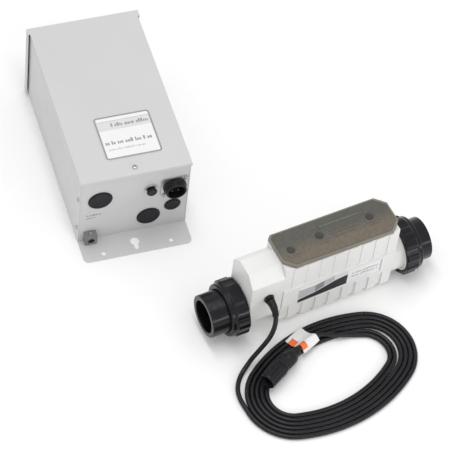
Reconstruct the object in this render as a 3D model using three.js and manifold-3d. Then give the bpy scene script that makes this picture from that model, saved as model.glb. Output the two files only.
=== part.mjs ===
// Salt chlorine generator for a pool: a wall-mounted power centre and an in-line flow cell
// with its coiled lead. Millimetres, +Z up, both units resting on the plane z = 0.
// The origin is under the middle of the flow cell's housing. X runs along the pipe, from
// inlet to outlet, and the power centre lies on its back behind the cell.
import * as THREE from 'three';
import { mergeVertices } from 'three/addons/utils/BufferGeometryUtils.js';
import Module from 'manifold-3d';

const wasm = await Module();
wasm.setup();

// ---------------------------------------------------------------- driving dimensions

const GAP = 0.3; // between pieces that touch
const ROUND = 36; // sides of a large round
const SMALL_ROUND = 14; // sides of a screw head or a small round
const CORNER_STEPS = 3; // chords in a rounded corner

// Flow cell, measured from the pipe axis
const AXIS_HEIGHT = 54.5; // pipe axis above the floor
const BORE = 31; // radius of the water way
const HOUSING = { left: -114, right: 112, top: 112, half: 36, bandHalf: 39, bandTop: 50, bandBottom: -2 };
const HOUSING_WALL = 4;
const POCKET_FLOOR = 44; // floor of the electronics pocket, above the axis
const POCKET_CUT = 8; // cut of the pocket's corners, which keeps them under the panel's
const RIB = { pitch: 27, width: 18, first: -98, count: 8 };
const CAP = { left: -178, half: 37, shoulder: 88, top: 109, topHalf: 17 };
const COLLAR = { right: 138, radius: 38 };
const STUB = { radius: 44, length: 20 }; // threaded ends that the union nuts run on
const NUT = { radius: 50.5, lugRadius: 53, lugs: 12, length: 36, bore: 45, lip: 9, lipBore: 40.2 };
const TAIL = { radius: 39.5, flange: 44, flangeLength: 4.5, socket: 30.3, stop: 26.5, socketDepth: 32 };
const O_RING = { radius: 37.5, section: 1.5, squeezed: 1.1, grooveHalf: 2.1, grooveDepth: 2 };
const INLET_FACE = -178; // shoulders that the nuts stop against
const OUTLET_FACE = 134;
const INLET_END = -247; // open ends of the tailpieces
const OUTLET_END = 193;
const PANEL = { left: -115, right: 114.5, half: 39, bottom: 112.3, thickness: 7.5 };
const PANEL_CORNER = { cut: 18, smallCut: 5 };
const OVERLAY_THICKNESS = 0.6;
const LENS = { x: 20, y: 21, halfLength: 44, half: 2.6 }; // window over the indicator lamps
const BUTTON_RADIUS = 6.5;
const BUTTON_PLACES = { info_button: [-90, -4], less_button: [-30, 4], more_button: [71, 6] };
const PLATE = { count: 4, pitch: 11, thickness: 1.2, left: -80, right: 70 };
const PADDLE = { x: 92, z: 25, pin: 1.6, length: 40, half: 5 };
const GLAND = { x: -143, z: 48, radius: 10 };
const SIDE_LABEL = { left: -82, right: 89, low: 1.5, high: 46.5 };
const LABEL_THICKNESS = 0.4;

// Lead, coil and plug, measured from the origin on the floor
const CORD_RADIUS = 4.3;
const COIL = { x: -76, y: -167, turn: 9, outer: [175, 111], inner: [112, 56], height: 10 };
const PLUG = { rear: [-114, -111], front: [-196, -150], height: 25.6, radius: 14 };
const TAG = { x: -98, y: -92, turn: 22, length: 42, width: 44, thickness: 1 };

// Power centre, measured from its back's lower left corner
const BOX = { width: 203, length: 362, depth: 174, sheet: 1.5 };
const BOX_PLACE = { x: -364, y: 270, turn: -9.5 };
const FLANGE = { bottom: 51, top: 26, cornerRadius: 10 };
const LIP = 12; // folds along the open edges
const HOOD = { overhang: 4.5, returnDepth: 14, foot: 4 };
const COVER_LIP = { out: 3.5, drop: 6.5 }; // fold along the cover's lower edge
const COVER_RISE = 0.5; // clearance between the cover and the folded edges
const PLUGS = {
  // across, up, radius
  knockout_plug_left: [38, 112, 22.5],
  knockout_plug_centre: [131, 38, 22],
  knockout_plug_right: [175, 59, 15.5],
};
const BREAKER = { x: 131, z: 118, radius: 9.5, travel: 3 };
const SOCKET = { x: 175, z: 114, radius: 20, bore: 16, out: 14, pinDepth: 8, flange: 50, screwOffset: 19.5 };
const LUG = { x: 22, z: 15, size: 22, out: 14, hole: 6 };
const LABEL = { x: 109, y: 85, width: 105, height: 98 };
const COVER_SCREW = { x: 101.5, y: 12 };
const SIDE_SCREWS = {
  // 0 on the left side or 1 on the right, and up
  left_front: [0, 114],
  left_rear: [0, 33],
  right_front: [1, 120],
  right_rear: [1, 46],
};

// ---------------------------------------------------------------- materials

function finish(color, roughness, metalness = 0) {
  return new THREE.MeshStandardMaterial({ color, roughness, metalness });
}

const paint = finish(0xd6d7d8, 0.5);
const whiteAbs = finish(0xe6e6e3, 0.45);
const blackPvc = finish(0x1b1b1d, 0.32);
const blackPlastic = finish(0x17171a, 0.45);
const panelGrey = finish(0x7c776c, 0.5);
const buttonGrey = finish(0x4f4c45, 0.55);
const steel = finish(0xb9bbbd, 0.35, 0.9);
const titanium = finish(0x8b8d90, 0.4, 0.8);
const copper = finish(0xb0653a, 0.4, 0.7);
const boardGreen = finish(0x1f5b3a, 0.5);
const labelWhite = finish(0xf3f3f1, 0.55);
const labelDark = finish(0x8e8f92, 0.5);
const cordBlack = finish(0x1d1d20, 0.5);
const rubber = finish(0x141414, 0.8);

// ---------------------------------------------------------------- geometry helpers

const vector = (point) => new THREE.Vector3(...point);

// A shape's (u, v) section and its depth w, laid along X, Y or Z.
const LAY = {
  x: new THREE.Matrix4().set(0, 0, 1, 0, 1, 0, 0, 0, 0, 1, 0, 0, 0, 0, 0, 1), // section is (y, z)
  y: new THREE.Matrix4().set(1, 0, 0, 0, 0, 0, -1, 0, 0, 1, 0, 0, 0, 0, 0, 1), // section is (x, z)
  z: new THREE.Matrix4(), // section is (x, y)
};

function outline(points) {
  return new THREE.Shape(points.map(([u, v]) => new THREE.Vector2(u, v)));
}

function circle(u, v, radius) {
  return new THREE.Path().absarc(u, v, radius, 0, Math.PI * 2, false);
}

// A rectangle with round corners.
function roundedRectangle(u0, v0, u1, v1, radius, Kind = THREE.Shape) {
  const centres = [
    [u1 - radius, v1 - radius],
    [u0 + radius, v1 - radius],
    [u0 + radius, v0 + radius],
    [u1 - radius, v0 + radius],
  ];
  const points = centres.flatMap(([u, v], quarter) =>
    Array.from({ length: CORNER_STEPS + 1 }, (_, i) => {
      const angle = ((quarter + i / CORNER_STEPS) * Math.PI) / 2;
      return new THREE.Vector2(u + radius * Math.cos(angle), v + radius * Math.sin(angle));
    }),
  );
  return new Kind(points);
}

// Full circles in the shape get twice as many sides as steps, and each curve that many chords.
function extruded(shape, axis, from, to, steps = SMALL_ROUND / 2) {
  const geometry = new THREE.ExtrudeGeometry(shape, {
    depth: to - from,
    bevelEnabled: false,
    curveSegments: steps,
  });
  geometry.applyMatrix4(LAY[axis]);
  const start = axis === 'y' ? to : from;
  const shift = { x: [start, 0, 0], y: [0, start, 0], z: [0, 0, start] }[axis];
  return geometry.translate(...shift);
}

function block(low, high) {
  const size = high.map((value, i) => value - low[i]);
  const middle = high.map((value, i) => (value + low[i]) / 2);
  return new THREE.BoxGeometry(...size).translate(...middle);
}

// A closed or on-axis profile of [radius, place along the axis], turned about that axis.
function turned(profile, axis, sides = ROUND) {
  const points = profile.map(([radius, along]) => new THREE.Vector2(radius, along));
  if (THREE.ShapeUtils.area(points) < 0) {
    points.reverse();
  }
  const onAxis = points.some((point) => point.x === 0);
  if (onAxis) {
    while (points[0].x !== 0 || points[points.length - 1].x !== 0) {
      points.push(points.shift());
    }
  } else {
    points.push(points[0].clone());
  }
  const geometry = new THREE.LatheGeometry(points, sides);
  if (axis === 'x') {
    geometry.rotateZ(-Math.PI / 2);
  }
  if (axis === 'z') {
    geometry.rotateX(Math.PI / 2);
  }
  return geometry;
}

// A plain rod between two places on an axis, centred on (u, v).
function rod(axis, from, to, radius, u = 0, v = 0, sides = SMALL_ROUND) {
  const geometry = turned([[0, from], [radius, from], [radius, to], [0, to]], axis, sides);
  const shift = { x: [0, u, v], y: [u, 0, v], z: [u, v, 0] }[axis];
  return geometry.translate(...shift);
}

// A tube that follows a curve.
function tube(points, radius, steps, sides) {
  const curve = new THREE.CatmullRomCurve3(points.map(vector), false, 'centripetal');
  const section = outline(
    Array.from({ length: sides }, (_, i) => {
      const angle = (i / sides) * Math.PI * 2;
      return [radius * Math.cos(angle), radius * Math.sin(angle)];
    }),
  );
  return new THREE.ExtrudeGeometry(section, { steps, extrudePath: curve, bevelEnabled: false });
}

// A geometry with its shared vertices merged and its collapsed triangles dropped.
function closed(geometry) {
  const plain = geometry.clone();
  plain.deleteAttribute('normal');
  plain.deleteAttribute('uv');
  const merged = mergeVertices(plain, 1e-4);
  const kept = [];
  const index = merged.index.array;
  for (let i = 0; i < index.length; i += 3) {
    const [a, b, c] = [index[i], index[i + 1], index[i + 2]];
    if (a !== b && b !== c && c !== a) {
      kept.push(a, b, c);
    }
  }
  merged.setIndex(kept);
  return merged;
}

// A solid that can be joined and cut.
function solid(geometry) {
  const merged = closed(geometry);
  const vertProperties = new Float32Array(merged.attributes.position.array);
  const triVerts = new Uint32Array(merged.index.array);
  return new wasm.Manifold(new wasm.Mesh({ numProp: 3, vertProperties, triVerts }));
}

function join(...geometries) {
  return geometries.map(solid).reduce((whole, piece) => whole.add(piece));
}

function cut(whole, ...geometries) {
  return geometries.map(solid).reduce((rest, piece) => rest.subtract(piece), whole);
}

function toGeometry(manifold) {
  const mesh = manifold.getMesh();
  const geometry = new THREE.BufferGeometry();
  geometry.setAttribute('position', new THREE.BufferAttribute(mesh.vertProperties, 3));
  geometry.setIndex(new THREE.BufferAttribute(mesh.triVerts, 1));
  return geometry;
}

// Adds a named piece, given as a geometry or as a joined and cut solid.
function add(group, name, shape, material) {
  const geometry = shape.isBufferGeometry ? closed(shape) : toGeometry(shape);
  geometry.computeVertexNormals();
  const mesh = new THREE.Mesh(geometry, material);
  mesh.name = name;
  group.add(mesh);
  return mesh;
}

// ---------------------------------------------------------------- flow cell

const cell = new THREE.Group();
cell.position.z = AXIS_HEIGHT;

const ribPlaces = Array.from({ length: RIB.count }, (_, i) => RIB.first + i * RIB.pitch);

// Housing: the water way below, an open pocket for the electronics above, ribbed sides.
function housing() {
  const { left, right, top, half, bandHalf, bandTop, bandBottom } = HOUSING;
  const floor = -AXIS_HEIGHT;
  const shoulder = -34; // where the sides start to curve in to the floor
  const section = new THREE.Shape();
  section.moveTo(-half, top);
  section.lineTo(-half, shoulder);
  section.quadraticCurveTo(-half + 2, floor + 3, -20, floor);
  section.lineTo(20, floor);
  section.quadraticCurveTo(half - 2, floor + 3, half, shoulder);
  section.lineTo(half, top);
  const band = block([left, -bandHalf, bandBottom], [right, bandHalf, bandTop]);
  const rise = bandHalf - half;
  const ribs = ribPlaces.flatMap((x) => {
    const upper = block([x, -half - rise / 2, bandTop - 1], [x + RIB.width, half + rise / 2, top - 5]);
    const lower = new THREE.Shape();
    lower.moveTo(-bandHalf, bandBottom + 1);
    lower.lineTo(-bandHalf, shoulder);
    lower.quadraticCurveTo(-bandHalf + 1.5, floor + 2, -24, floor);
    lower.lineTo(24, floor);
    lower.quadraticCurveTo(bandHalf - 1.5, floor + 2, bandHalf, shoulder);
    lower.lineTo(bandHalf, bandBottom + 1);
    return [upper, extruded(lower, 'x', x, x + RIB.width, 3)];
  });
  const body = join(extruded(section, 'x', left, right, 4), band, ...ribs);
  const wall = HOUSING_WALL;
  const [start, end, side] = [left + wall, right - wall, half - wall];
  const pocketOutline = outline([
    [start, -side + POCKET_CUT],
    [start + POCKET_CUT, -side],
    [end - POCKET_CUT, -side],
    [end, -side + POCKET_CUT],
    [end, side - POCKET_CUT],
    [end - POCKET_CUT, side],
    [start + POCKET_CUT, side],
    [start, side - POCKET_CUT],
  ]);
  const pocket = extruded(pocketOutline, 'z', POCKET_FLOOR, top + 1);
  const bore = rod('x', left - 1, right + 1, BORE, 0, 0, ROUND);
  const switchHole = rod('z', 0, POCKET_FLOOR + 1, 9.5, PADDLE.x, 0);
  const wireHole = rod('x', left - 1, left + wall + 1, 8, 0, POCKET_FLOOR + 20);
  return cut(body, pocket, bore, switchHole, wireHole);
}

add(cell, 'cell_housing', housing(), whiteAbs);

// Left end cap: a D-shaped block that carries the lead's gland and the inlet thread.
function endCap() {
  const { left, half, shoulder, top, topHalf } = CAP;
  const section = new THREE.Shape();
  section.moveTo(half, 0);
  section.lineTo(half, shoulder);
  section.lineTo(topHalf, top);
  section.lineTo(-topHalf, top);
  section.lineTo(-half, shoulder);
  section.lineTo(-half, 0);
  section.absarc(0, 0, half, Math.PI, Math.PI * 2, false);
  const right = HOUSING.left - GAP;
  const body = join(
    extruded(section, 'x', left, right, ROUND / 4),
    rod('x', left - STUB.length, left + 1, STUB.radius, 0, 0, ROUND),
  );
  const wirePocket = block([left + 5, -half + 5, POCKET_FLOOR], [right + 1, half - 5, shoulder - 4]);
  const glandHole = rod('y', -half - 1, -half + 6, CORD_RADIUS + 2.5, GLAND.x, GLAND.z);
  const bore = rod('x', left - STUB.length - 1, right + 1, BORE, 0, 0, ROUND);
  return cut(body, bore, wirePocket, glandHole, groove(left - STUB.length, 1));
}

// The O-ring's groove in the end face of a threaded stub; inward is the sign of X into the stub.
function groove(face, inward) {
  const [inner, outer] = [O_RING.radius - O_RING.grooveHalf, O_RING.radius + O_RING.grooveHalf];
  const [open, floor] = [face - inward, face + inward * O_RING.grooveDepth];
  return turned([[inner, open], [outer, open], [outer, floor], [inner, floor]], 'x');
}

add(cell, 'inlet_end_cap', endCap(), whiteAbs);

function outletCollar() {
  const left = HOUSING.right + GAP;
  const end = OUTLET_FACE + STUB.length;
  const body = join(
    rod('x', left, COLLAR.right, COLLAR.radius, 0, 0, ROUND),
    rod('x', COLLAR.right - 1, end, STUB.radius, 0, 0, ROUND),
  );
  return cut(body, rod('x', left - 1, end + 1, BORE, 0, 0, ROUND), groove(end, -1));
}

add(cell, 'outlet_collar', outletCollar(), whiteAbs);

// Unions: direction is -1 at the inlet and 1 at the outlet, and places run outwards from the face.
function unionPieces(prefix, direction, face, end) {
  const place = (outward) => face + direction * outward;
  const stubEnd = STUB.length;
  const along = (from, to) => (direction > 0 ? [place(from), place(to)] : [place(to), place(from)]);

  const grip = outline(
    Array.from({ length: NUT.lugs * 4 }, (_, i) => {
      const angle = (i / (NUT.lugs * 4)) * Math.PI * 2;
      const radius = i % 4 < 2 ? NUT.lugRadius : NUT.radius;
      return [radius * Math.cos(angle), radius * Math.sin(angle)];
    }),
  );
  const nut = cut(
    join(
      extruded(grip, 'x', ...along(1, NUT.length - 7)),
      rod('x', ...along(NUT.length - 8, NUT.length), NUT.radius - 1.5, 0, 0, ROUND),
    ),
    rod('x', ...along(-1, NUT.length - NUT.lip), NUT.bore, 0, 0, ROUND),
    rod('x', ...along(-1, NUT.length + 1), NUT.lipBore, 0, 0, ROUND),
  );
  add(cell, `${prefix}_union_nut`, nut, blackPvc);

  const flangeStart = stubEnd + 1;
  const flangeEnd = flangeStart + TAIL.flangeLength;
  const tailEnd = Math.abs(end - face);
  const profile = [
    [TAIL.stop, flangeStart],
    [TAIL.flange, flangeStart],
    [TAIL.flange, flangeEnd],
    [TAIL.radius, flangeEnd],
    [TAIL.radius, tailEnd - 1.5],
    [TAIL.radius - 1.5, tailEnd],
    [TAIL.socket, tailEnd],
    [TAIL.socket, tailEnd - TAIL.socketDepth],
    [TAIL.stop, tailEnd - TAIL.socketDepth],
  ].map(([radius, outward]) => [radius, place(outward)]);
  add(cell, `${prefix}_tailpiece`, turned(profile, 'x'), blackPvc);

  const { radius, section, squeezed } = O_RING;
  const ring = Array.from({ length: 6 }, (_, i) => {
    const angle = (i / 6) * Math.PI * 2;
    return [radius + section * Math.cos(angle), place(stubEnd - 0.75) + squeezed * Math.sin(angle)];
  });
  add(cell, `${prefix}_o_ring`, turned(ring, 'x', ROUND), rubber);
}

unionPieces('inlet', -1, INLET_FACE, INLET_END);
unionPieces('outlet', 1, OUTLET_FACE, OUTLET_END);

// Control panel: a plate with cut corners that closes the electronics pocket.
function panelOutline(inset) {
  const { cut: corner, smallCut } = PANEL_CORNER;
  const left = PANEL.left + inset;
  const right = PANEL.right - inset;
  const half = PANEL.half - inset;
  return outline([
    [left, -half + corner],
    [left + corner, -half],
    [right - corner, -half],
    [right, -half + corner],
    [right, half - corner],
    [right - corner, half],
    [left + smallCut, half],
    [left, half - smallCut],
  ]);
}

const panelTop = PANEL.bottom + PANEL.thickness;
const buttonPlaces = Object.entries(BUTTON_PLACES);

// The lamp window's bar, grown on its sides by a clearance.
function lensBar(grow, low, high) {
  const { x, y, halfLength, half } = LENS;
  const reach = [halfLength + grow, half + grow];
  return block([x - reach[0], y - reach[1], low], [x + reach[0], y + reach[1], high]);
}

function controlPanel() {
  const skirt = new THREE.ExtrudeGeometry(panelOutline(0), { depth: PANEL.thickness, bevelEnabled: false });
  const plate = solid(skirt.translate(0, 0, PANEL.bottom));
  const tray = new THREE.ExtrudeGeometry(panelOutline(3), { depth: 2, bevelEnabled: false });
  const recess = tray.translate(0, 0, panelTop - OVERLAY_THICKNESS - GAP);
  const buttonHoles = buttonPlaces.map(([, [x, y]]) =>
    rod('z', PANEL.bottom - 1, panelTop + 1, BUTTON_RADIUS + 0.5, x, y),
  );
  return cut(plate, recess, ...buttonHoles, lensBar(0.4, PANEL.bottom - 1, panelTop + 1));
}

add(cell, 'control_panel', controlPanel(), panelGrey);

function panelOverlay() {
  const shape = panelOutline(3.5);
  buttonPlaces.forEach(([, [x, y]]) => shape.holes.push(circle(x, y, BUTTON_RADIUS + 0.5)));
  const { x, y, halfLength, half } = LENS;
  const window = [x - halfLength - 0.4, y - half - 0.4, x + halfLength + 0.4, y + half + 0.4];
  shape.holes.push(roundedRectangle(...window, 0.5, THREE.Path));
  return extruded(shape, 'z', panelTop - OVERLAY_THICKNESS, panelTop, 8);
}

add(cell, 'panel_overlay', panelOverlay(), panelGrey);

buttonPlaces.forEach(([name, [x, y]]) => {
  const crown = [
    [0, PANEL.bottom + 1],
    [BUTTON_RADIUS, PANEL.bottom + 1],
    [BUTTON_RADIUS, panelTop + 0.4],
    [BUTTON_RADIUS - 1, panelTop + 1],
    [0, panelTop + 1.2],
  ];
  add(cell, name, turned(crown, 'z', SMALL_ROUND).translate(x, y, 0), buttonGrey);
});

add(cell, 'lamp_window', lensBar(0, PANEL.bottom + 1, panelTop - 0.1), labelDark);

// Circuit board on the pocket's floor, on four stand-offs moulded to it.
function circuitBoard() {
  const boardTop = POCKET_FLOOR + 10;
  const posts = [[-98, -24], [-98, 24], [96, -24], [96, 24]].map(([x, y]) =>
    rod('z', POCKET_FLOOR + GAP, boardTop - 1, 3.5, x, y, 12),
  );
  return join(
    block([-104, -29, boardTop - 1.6], [102, 29, boardTop]),
    ...posts,
    block([-70, -18, boardTop - 0.5], [-46, 6, boardTop + 6]),
    block([-20, -12, boardTop - 0.5], [8, 16, boardTop + 3]),
    rod('z', boardTop - 0.5, boardTop + 16, 8, 40, -8),
    rod('z', boardTop - 0.5, boardTop + 16, 8, 62, -8),
  );
}

add(cell, 'cell_circuit_board', circuitBoard(), boardGreen);

// Electrode stack: upright plates held by a toothed comb at the top and one at the bottom.
const firstPlate = (-(PLATE.count - 1) / 2) * PLATE.pitch;
const plateOffsets = Array.from({ length: PLATE.count }, (_, i) => firstPlate + i * PLATE.pitch);
const plateHalfHeight = 19;
const combHalf = 20.4; // half the length of a comb's bars, just inside the bore
const combRise = 3.5; // how far a comb stands past the plates

plateOffsets.forEach((y, i) => {
  const half = PLATE.thickness / 2;
  const plate = block([PLATE.left, y - half, -plateHalfHeight], [PLATE.right, y + half, plateHalfHeight]);
  add(cell, `electrode_plate_${i + 1}`, plate, titanium);
});

// Two heights above the axis, or below it for a side of -1, lowest first.
function span(side, near, far) {
  return side > 0 ? [near, far] : [-far, -near];
}

function comb(side) {
  const [barLow, barHigh] = span(side, plateHalfHeight - 3, plateHalfHeight + combRise);
  const bars = [PLATE.left + 8, PLATE.right - 16].map((x) =>
    block([x, -combHalf, barLow], [x + 8, combHalf, barHigh]),
  );
  const [railLow, railHigh] = span(side, plateHalfHeight + GAP, plateHalfHeight + combRise);
  const rail = block([PLATE.left + 8, -4, railLow], [PLATE.right - 8, 4, railHigh]);
  const slotHalf = PLATE.thickness / 2 + GAP;
  const [slotLow, slotHigh] = span(side, 0, plateHalfHeight + GAP);
  const slots = plateOffsets.map((y) =>
    block([PLATE.left - 1, y - slotHalf, slotLow], [PLATE.right + 1, y + slotHalf, slotHigh]),
  );
  return cut(join(...bars, rail), ...slots);
}

add(cell, 'electrode_comb_upper', comb(1), whiteAbs);
add(cell, 'electrode_comb_lower', comb(-1), whiteAbs);

// Flow switch: a plug through the housing floor with a fork that holds the swinging paddle.
function flowSwitchBody() {
  const plug = join(
    rod('z', 29, POCKET_FLOOR + 5, 9, PADDLE.x, 0),
    rod('z', POCKET_FLOOR + GAP, POCKET_FLOOR + 6, 13, PADDLE.x, 0),
    block([PADDLE.x - 4, -8, 20], [PADDLE.x + 4, -PADDLE.half - 0.6, 31]),
    block([PADDLE.x - 4, PADDLE.half + 0.6, 20], [PADDLE.x + 4, 8, 31]),
  );
  return cut(plug, rod('y', -9, 9, PADDLE.pin + 0.1, PADDLE.x, PADDLE.z));
}

add(cell, 'flow_switch_body', flowSwitchBody(), blackPlastic);

function flowPaddle() {
  const { x, z, pin, length, half } = PADDLE;
  return join(
    rod('y', -7.6, 7.6, pin, x, z),
    rod('y', -half, half, 3, x, z),
    block([x - 1.2, -half, z - length], [x + 1.2, half, z - 1]),
  );
}

add(cell, 'flow_switch_paddle', flowPaddle(), blackPlastic);

// Side label and the gland that the lead comes out of.
const sideLabel = roundedRectangle(SIDE_LABEL.left, SIDE_LABEL.low, SIDE_LABEL.right, SIDE_LABEL.high, 2);
const labelBack = -HOUSING.bandHalf - GAP;
add(cell, 'cell_side_label', extruded(sideLabel, 'y', labelBack - LABEL_THICKNESS, labelBack), labelWhite);

const capFace = -CAP.half;
const glandBore = CORD_RADIUS + 0.6;
const glandNeck = CORD_RADIUS + 2.1;
const glandProfile = [
  [glandBore, capFace + 5],
  [glandNeck, capFace + 5],
  [glandNeck, capFace - GAP],
  [GLAND.radius, capFace - GAP],
  [GLAND.radius, capFace - 2.5],
  [GLAND.radius - 1.5, capFace - 4],
  [glandNeck, capFace - 9],
  [glandBore, capFace - 9],
];
const gland = turned(glandProfile, 'y', SMALL_ROUND).translate(GLAND.x, 0, GLAND.z);
add(cell, 'cable_gland', gland, blackPlastic);

// ---------------------------------------------------------------- lead, coil and plug

const cords = new THREE.Group();
const glandHeight = AXIS_HEIGHT + GLAND.z;
const floorHeight = CORD_RADIUS + 0.3; // the lead's centre where it lies on the floor

// The lead leaves the gland, drops to the floor and reaches the coil's outer turn.
const leadRoute = [
  [-143, -36, glandHeight],
  [-143, -46, glandHeight],
  [-143.2, -56, 101.8],
  [-144.5, -66, 98.2],
  [-147, -75, 91.3],
  [-151, -81.5, 81],
  [-156.5, -85.3, 68.5],
  [-163, -87, 55],
  [-171.5, -87.5, 41],
  [-182, -88.5, 28],
  [-195, -91.5, 16.5],
  [-208, -97.5, 8.8],
  [-221, -106, floorHeight],
  [-232.5, -117.5, floorHeight],
  [-241.5, -132, floorHeight],
];
add(cords, 'cord_lead', tube(leadRoute, CORD_RADIUS, 14, 10), cordBlack);

// The coil's outer shape: an oval ring that lies flat.
function coilRing() {
  const [outerLong, outerShort] = COIL.outer;
  const [innerLong, innerShort] = COIL.inner;
  const oval = (long, short, Kind) => new Kind().absellipse(0, 0, long, short, 0, Math.PI * 2, false);
  const shape = oval(outerLong, outerShort, THREE.Shape);
  shape.holes.push(oval(innerLong, innerShort, THREE.Path));
  const geometry = extruded(shape, 'z', 0.2, COIL.height, 24);
  return geometry.rotateZ(THREE.MathUtils.degToRad(COIL.turn)).translate(COIL.x, COIL.y, 0);
}

add(cords, 'cord_coil', coilRing(), cordBlack);

// Plug: lies on the coil, its grip at the rear and its coupling ring in front.
const plug = new THREE.Group();
const plugAim = new THREE.Vector2(PLUG.front[0] - PLUG.rear[0], PLUG.front[1] - PLUG.rear[1]);
const plugLength = plugAim.length();
plug.position.set(PLUG.rear[0], PLUG.rear[1], PLUG.height);
plug.rotation.z = plugAim.angle();

const PLUG_STEP = 50; // where the grip ends and the coupling ring's sleeve starts
const plugProfile = [
  [0, 0],
  [CORD_RADIUS + 2, 0],
  [PLUG.radius - 2, 18],
  [PLUG.radius, 24],
  [PLUG.radius, PLUG_STEP],
  [PLUG.radius - 3, PLUG_STEP],
  [PLUG.radius - 3, plugLength - 2],
  [PLUG.radius - 5, plugLength - 2],
  [PLUG.radius - 5, PLUG_STEP + 10],
  [0, PLUG_STEP + 10],
];
add(plug, 'cord_plug', turned(plugProfile, 'x', 24), blackPlastic);

function plugRing() {
  const inner = PLUG.radius - 2.6;
  const outer = PLUG.radius + 1;
  const start = PLUG_STEP + 1;
  const ring = turned([[inner, start], [outer, start], [outer, plugLength], [inner, plugLength]], 'x', 24);
  const grips = Array.from({ length: 6 }, (_, i) => {
    const angle = (i / 6) * Math.PI * 2;
    const [y, z] = [Math.cos(angle), Math.sin(angle)].map((part) => part * (outer + 0.6));
    return rod('x', PLUG_STEP, plugLength + 1, 1.6, y, z, 10);
  });
  return cut(solid(ring), ...grips);
}

add(plug, 'plug_coupling_ring', plugRing(), blackPlastic);
cords.add(plug);

// The last stretch climbs from the coil's top to the back of the plug.
const tailRoute = [
  [-58, -93, COIL.height + GAP + CORD_RADIUS],
  [-76, -94.5, 18],
  [-95, -102, 22.5],
  [-107, -107.7, PLUG.height - 0.4],
  [-113.6, -110.8, PLUG.height],
];
add(cords, 'cord_tail', tube(tailRoute, CORD_RADIUS, 6, 10), cordBlack);

// Tag: a flag folded round the last stretch, lying on the coil.
function cordTag() {
  const { x, y, turn, length, width, thickness } = TAG;
  const leaf = roundedRectangle(-length / 2, -width / 2, length / 2, width / 2, 2);
  const low = COIL.height + GAP;
  const flat = extruded(leaf, 'z', low, low + thickness);
  return flat.rotateZ(THREE.MathUtils.degToRad(turn)).translate(x, y, 0);
}

add(cords, 'cord_tag', cordTag(), labelWhite);

// ---------------------------------------------------------------- power centre

const box = new THREE.Group();
box.position.set(BOX_PLACE.x, BOX_PLACE.y, 0);
box.rotation.z = THREE.MathUtils.degToRad(BOX_PLACE.turn);

const { width, length, depth, sheet } = BOX;
const coverTop = depth;
const coverUnder = depth - sheet;
const wallTop = coverUnder - COVER_RISE;

// Enclosure: back with two mounting flanges, both sides and the top end, folded from one sheet.
function enclosure() {
  const back = roundedRectangle(0, -FLANGE.bottom, width, length + FLANGE.top, FLANGE.cornerRadius);
  back.holes.push(circle(39, -38, 4.2), circle(166, -37, 4.2));
  back.holes.push(circle(39, length + 15, 4.2), circle(166, length + 15, 4.2));
  const keyhole = new THREE.Path();
  keyhole.absarc(101, -24, 8.5, -Math.PI / 2 + 0.5, Math.PI * 1.5 - 0.5, false);
  keyhole.absarc(101, -38, 4.1, Math.PI, Math.PI * 2, false);
  back.holes.push(keyhole);
  const wallEnd = length - 2;
  const walls = [
    extruded(back, 'z', 0, sheet, 6),
    block([0, 0, 0], [sheet, wallEnd, wallTop]),
    block([width - sheet, 0, 0], [width, wallEnd, wallTop]),
    block([0, wallEnd - sheet, 0], [width, wallEnd, wallTop]),
    block([0, 26, wallTop - sheet], [LIP, wallEnd, wallTop]),
    block([width - LIP, 26, wallTop - sheet], [width, wallEnd, wallTop]),
    block([0, wallEnd - LIP, wallTop - sheet], [width, wallEnd, wallTop]),
  ];
  const screwHoles = Object.values(SIDE_SCREWS).map(([side, z]) => {
    const x = side * width;
    return rod('x', x - 4, x + 4, 2.4, 9, z, 12);
  });
  return cut(join(...walls), ...screwHoles);
}

add(box, 'enclosure', enclosure(), paint);

// Bottom panel: carries the conduit openings, the breaker and the cell's receptacle.
const faceY = 0.5; // outer face of the bottom panel
const panelBack = faceY + sheet;
const socketScrewPlaces = [-1, 1].map((side) => [
  SOCKET.x + side * SOCKET.screwOffset,
  SOCKET.z + side * SOCKET.screwOffset,
]);

function bottomPanel() {
  const low = sheet + GAP;
  const high = width - sheet - GAP;
  const plate = block([low, faceY, low], [high, panelBack, wallTop]);
  const sideFold = 22;
  const topFold = 25;
  const folds = [
    block([low, faceY, low], [low + sheet, sideFold, wallTop - 4]),
    block([high - sheet, faceY, low], [high, sideFold, wallTop - 4]),
    block([low, faceY, wallTop - sheet], [high, topFold, wallTop]),
  ];
  const openings = Object.values(PLUGS).map(([x, z, radius]) => rod('y', -1, 4, radius - 2.5, x, z, 32));
  const screwHoles = Object.values(SIDE_SCREWS).map(([side, z]) => {
    const x = side ? high : low;
    return rod('x', x - 4, x + 4, 2.4, 9, z, 12);
  });
  const coverHole = rod('z', wallTop - 3, wallTop + 1, 4, COVER_SCREW.x, COVER_SCREW.y);
  const breakerHole = rod('y', -1, 4, 7.2, BREAKER.x, BREAKER.z, 24);
  const socketHole = rod('y', -1, 4, SOCKET.radius + 0.6, SOCKET.x, SOCKET.z, 32);
  const flangeHoles = socketScrewPlaces.map(([x, z]) => rod('y', -1, 4, 2.2, x, z, 12));
  const singleHoles = [coverHole, breakerHole, socketHole];
  return cut(join(plate, ...folds), ...openings, ...screwHoles, ...singleHoles, ...flangeHoles);
}

add(box, 'bottom_panel', bottomPanel(), paint);

// A pan-head screw along an axis: its head starts at the seat and points along the given sign.
function screw(axis, seat, sign, head, shank, reach) {
  const profile = [
    [0, seat - sign * reach],
    [shank, seat - sign * reach],
    [shank, seat],
    [head, seat],
    [head, seat + sign * head * 0.35],
    [head * 0.6, seat + sign * head * 0.65],
    [0, seat + sign * head * 0.7],
  ];
  return turned(profile, axis, SMALL_ROUND);
}

Object.entries(SIDE_SCREWS).forEach(([place, [side, z]]) => {
  const sign = side ? 1 : -1;
  const seat = side * width + sign * GAP;
  add(box, `side_screw_${place}`, screw('x', seat, sign, 4, 2, 8).translate(0, 9, z), steel);
});

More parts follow.
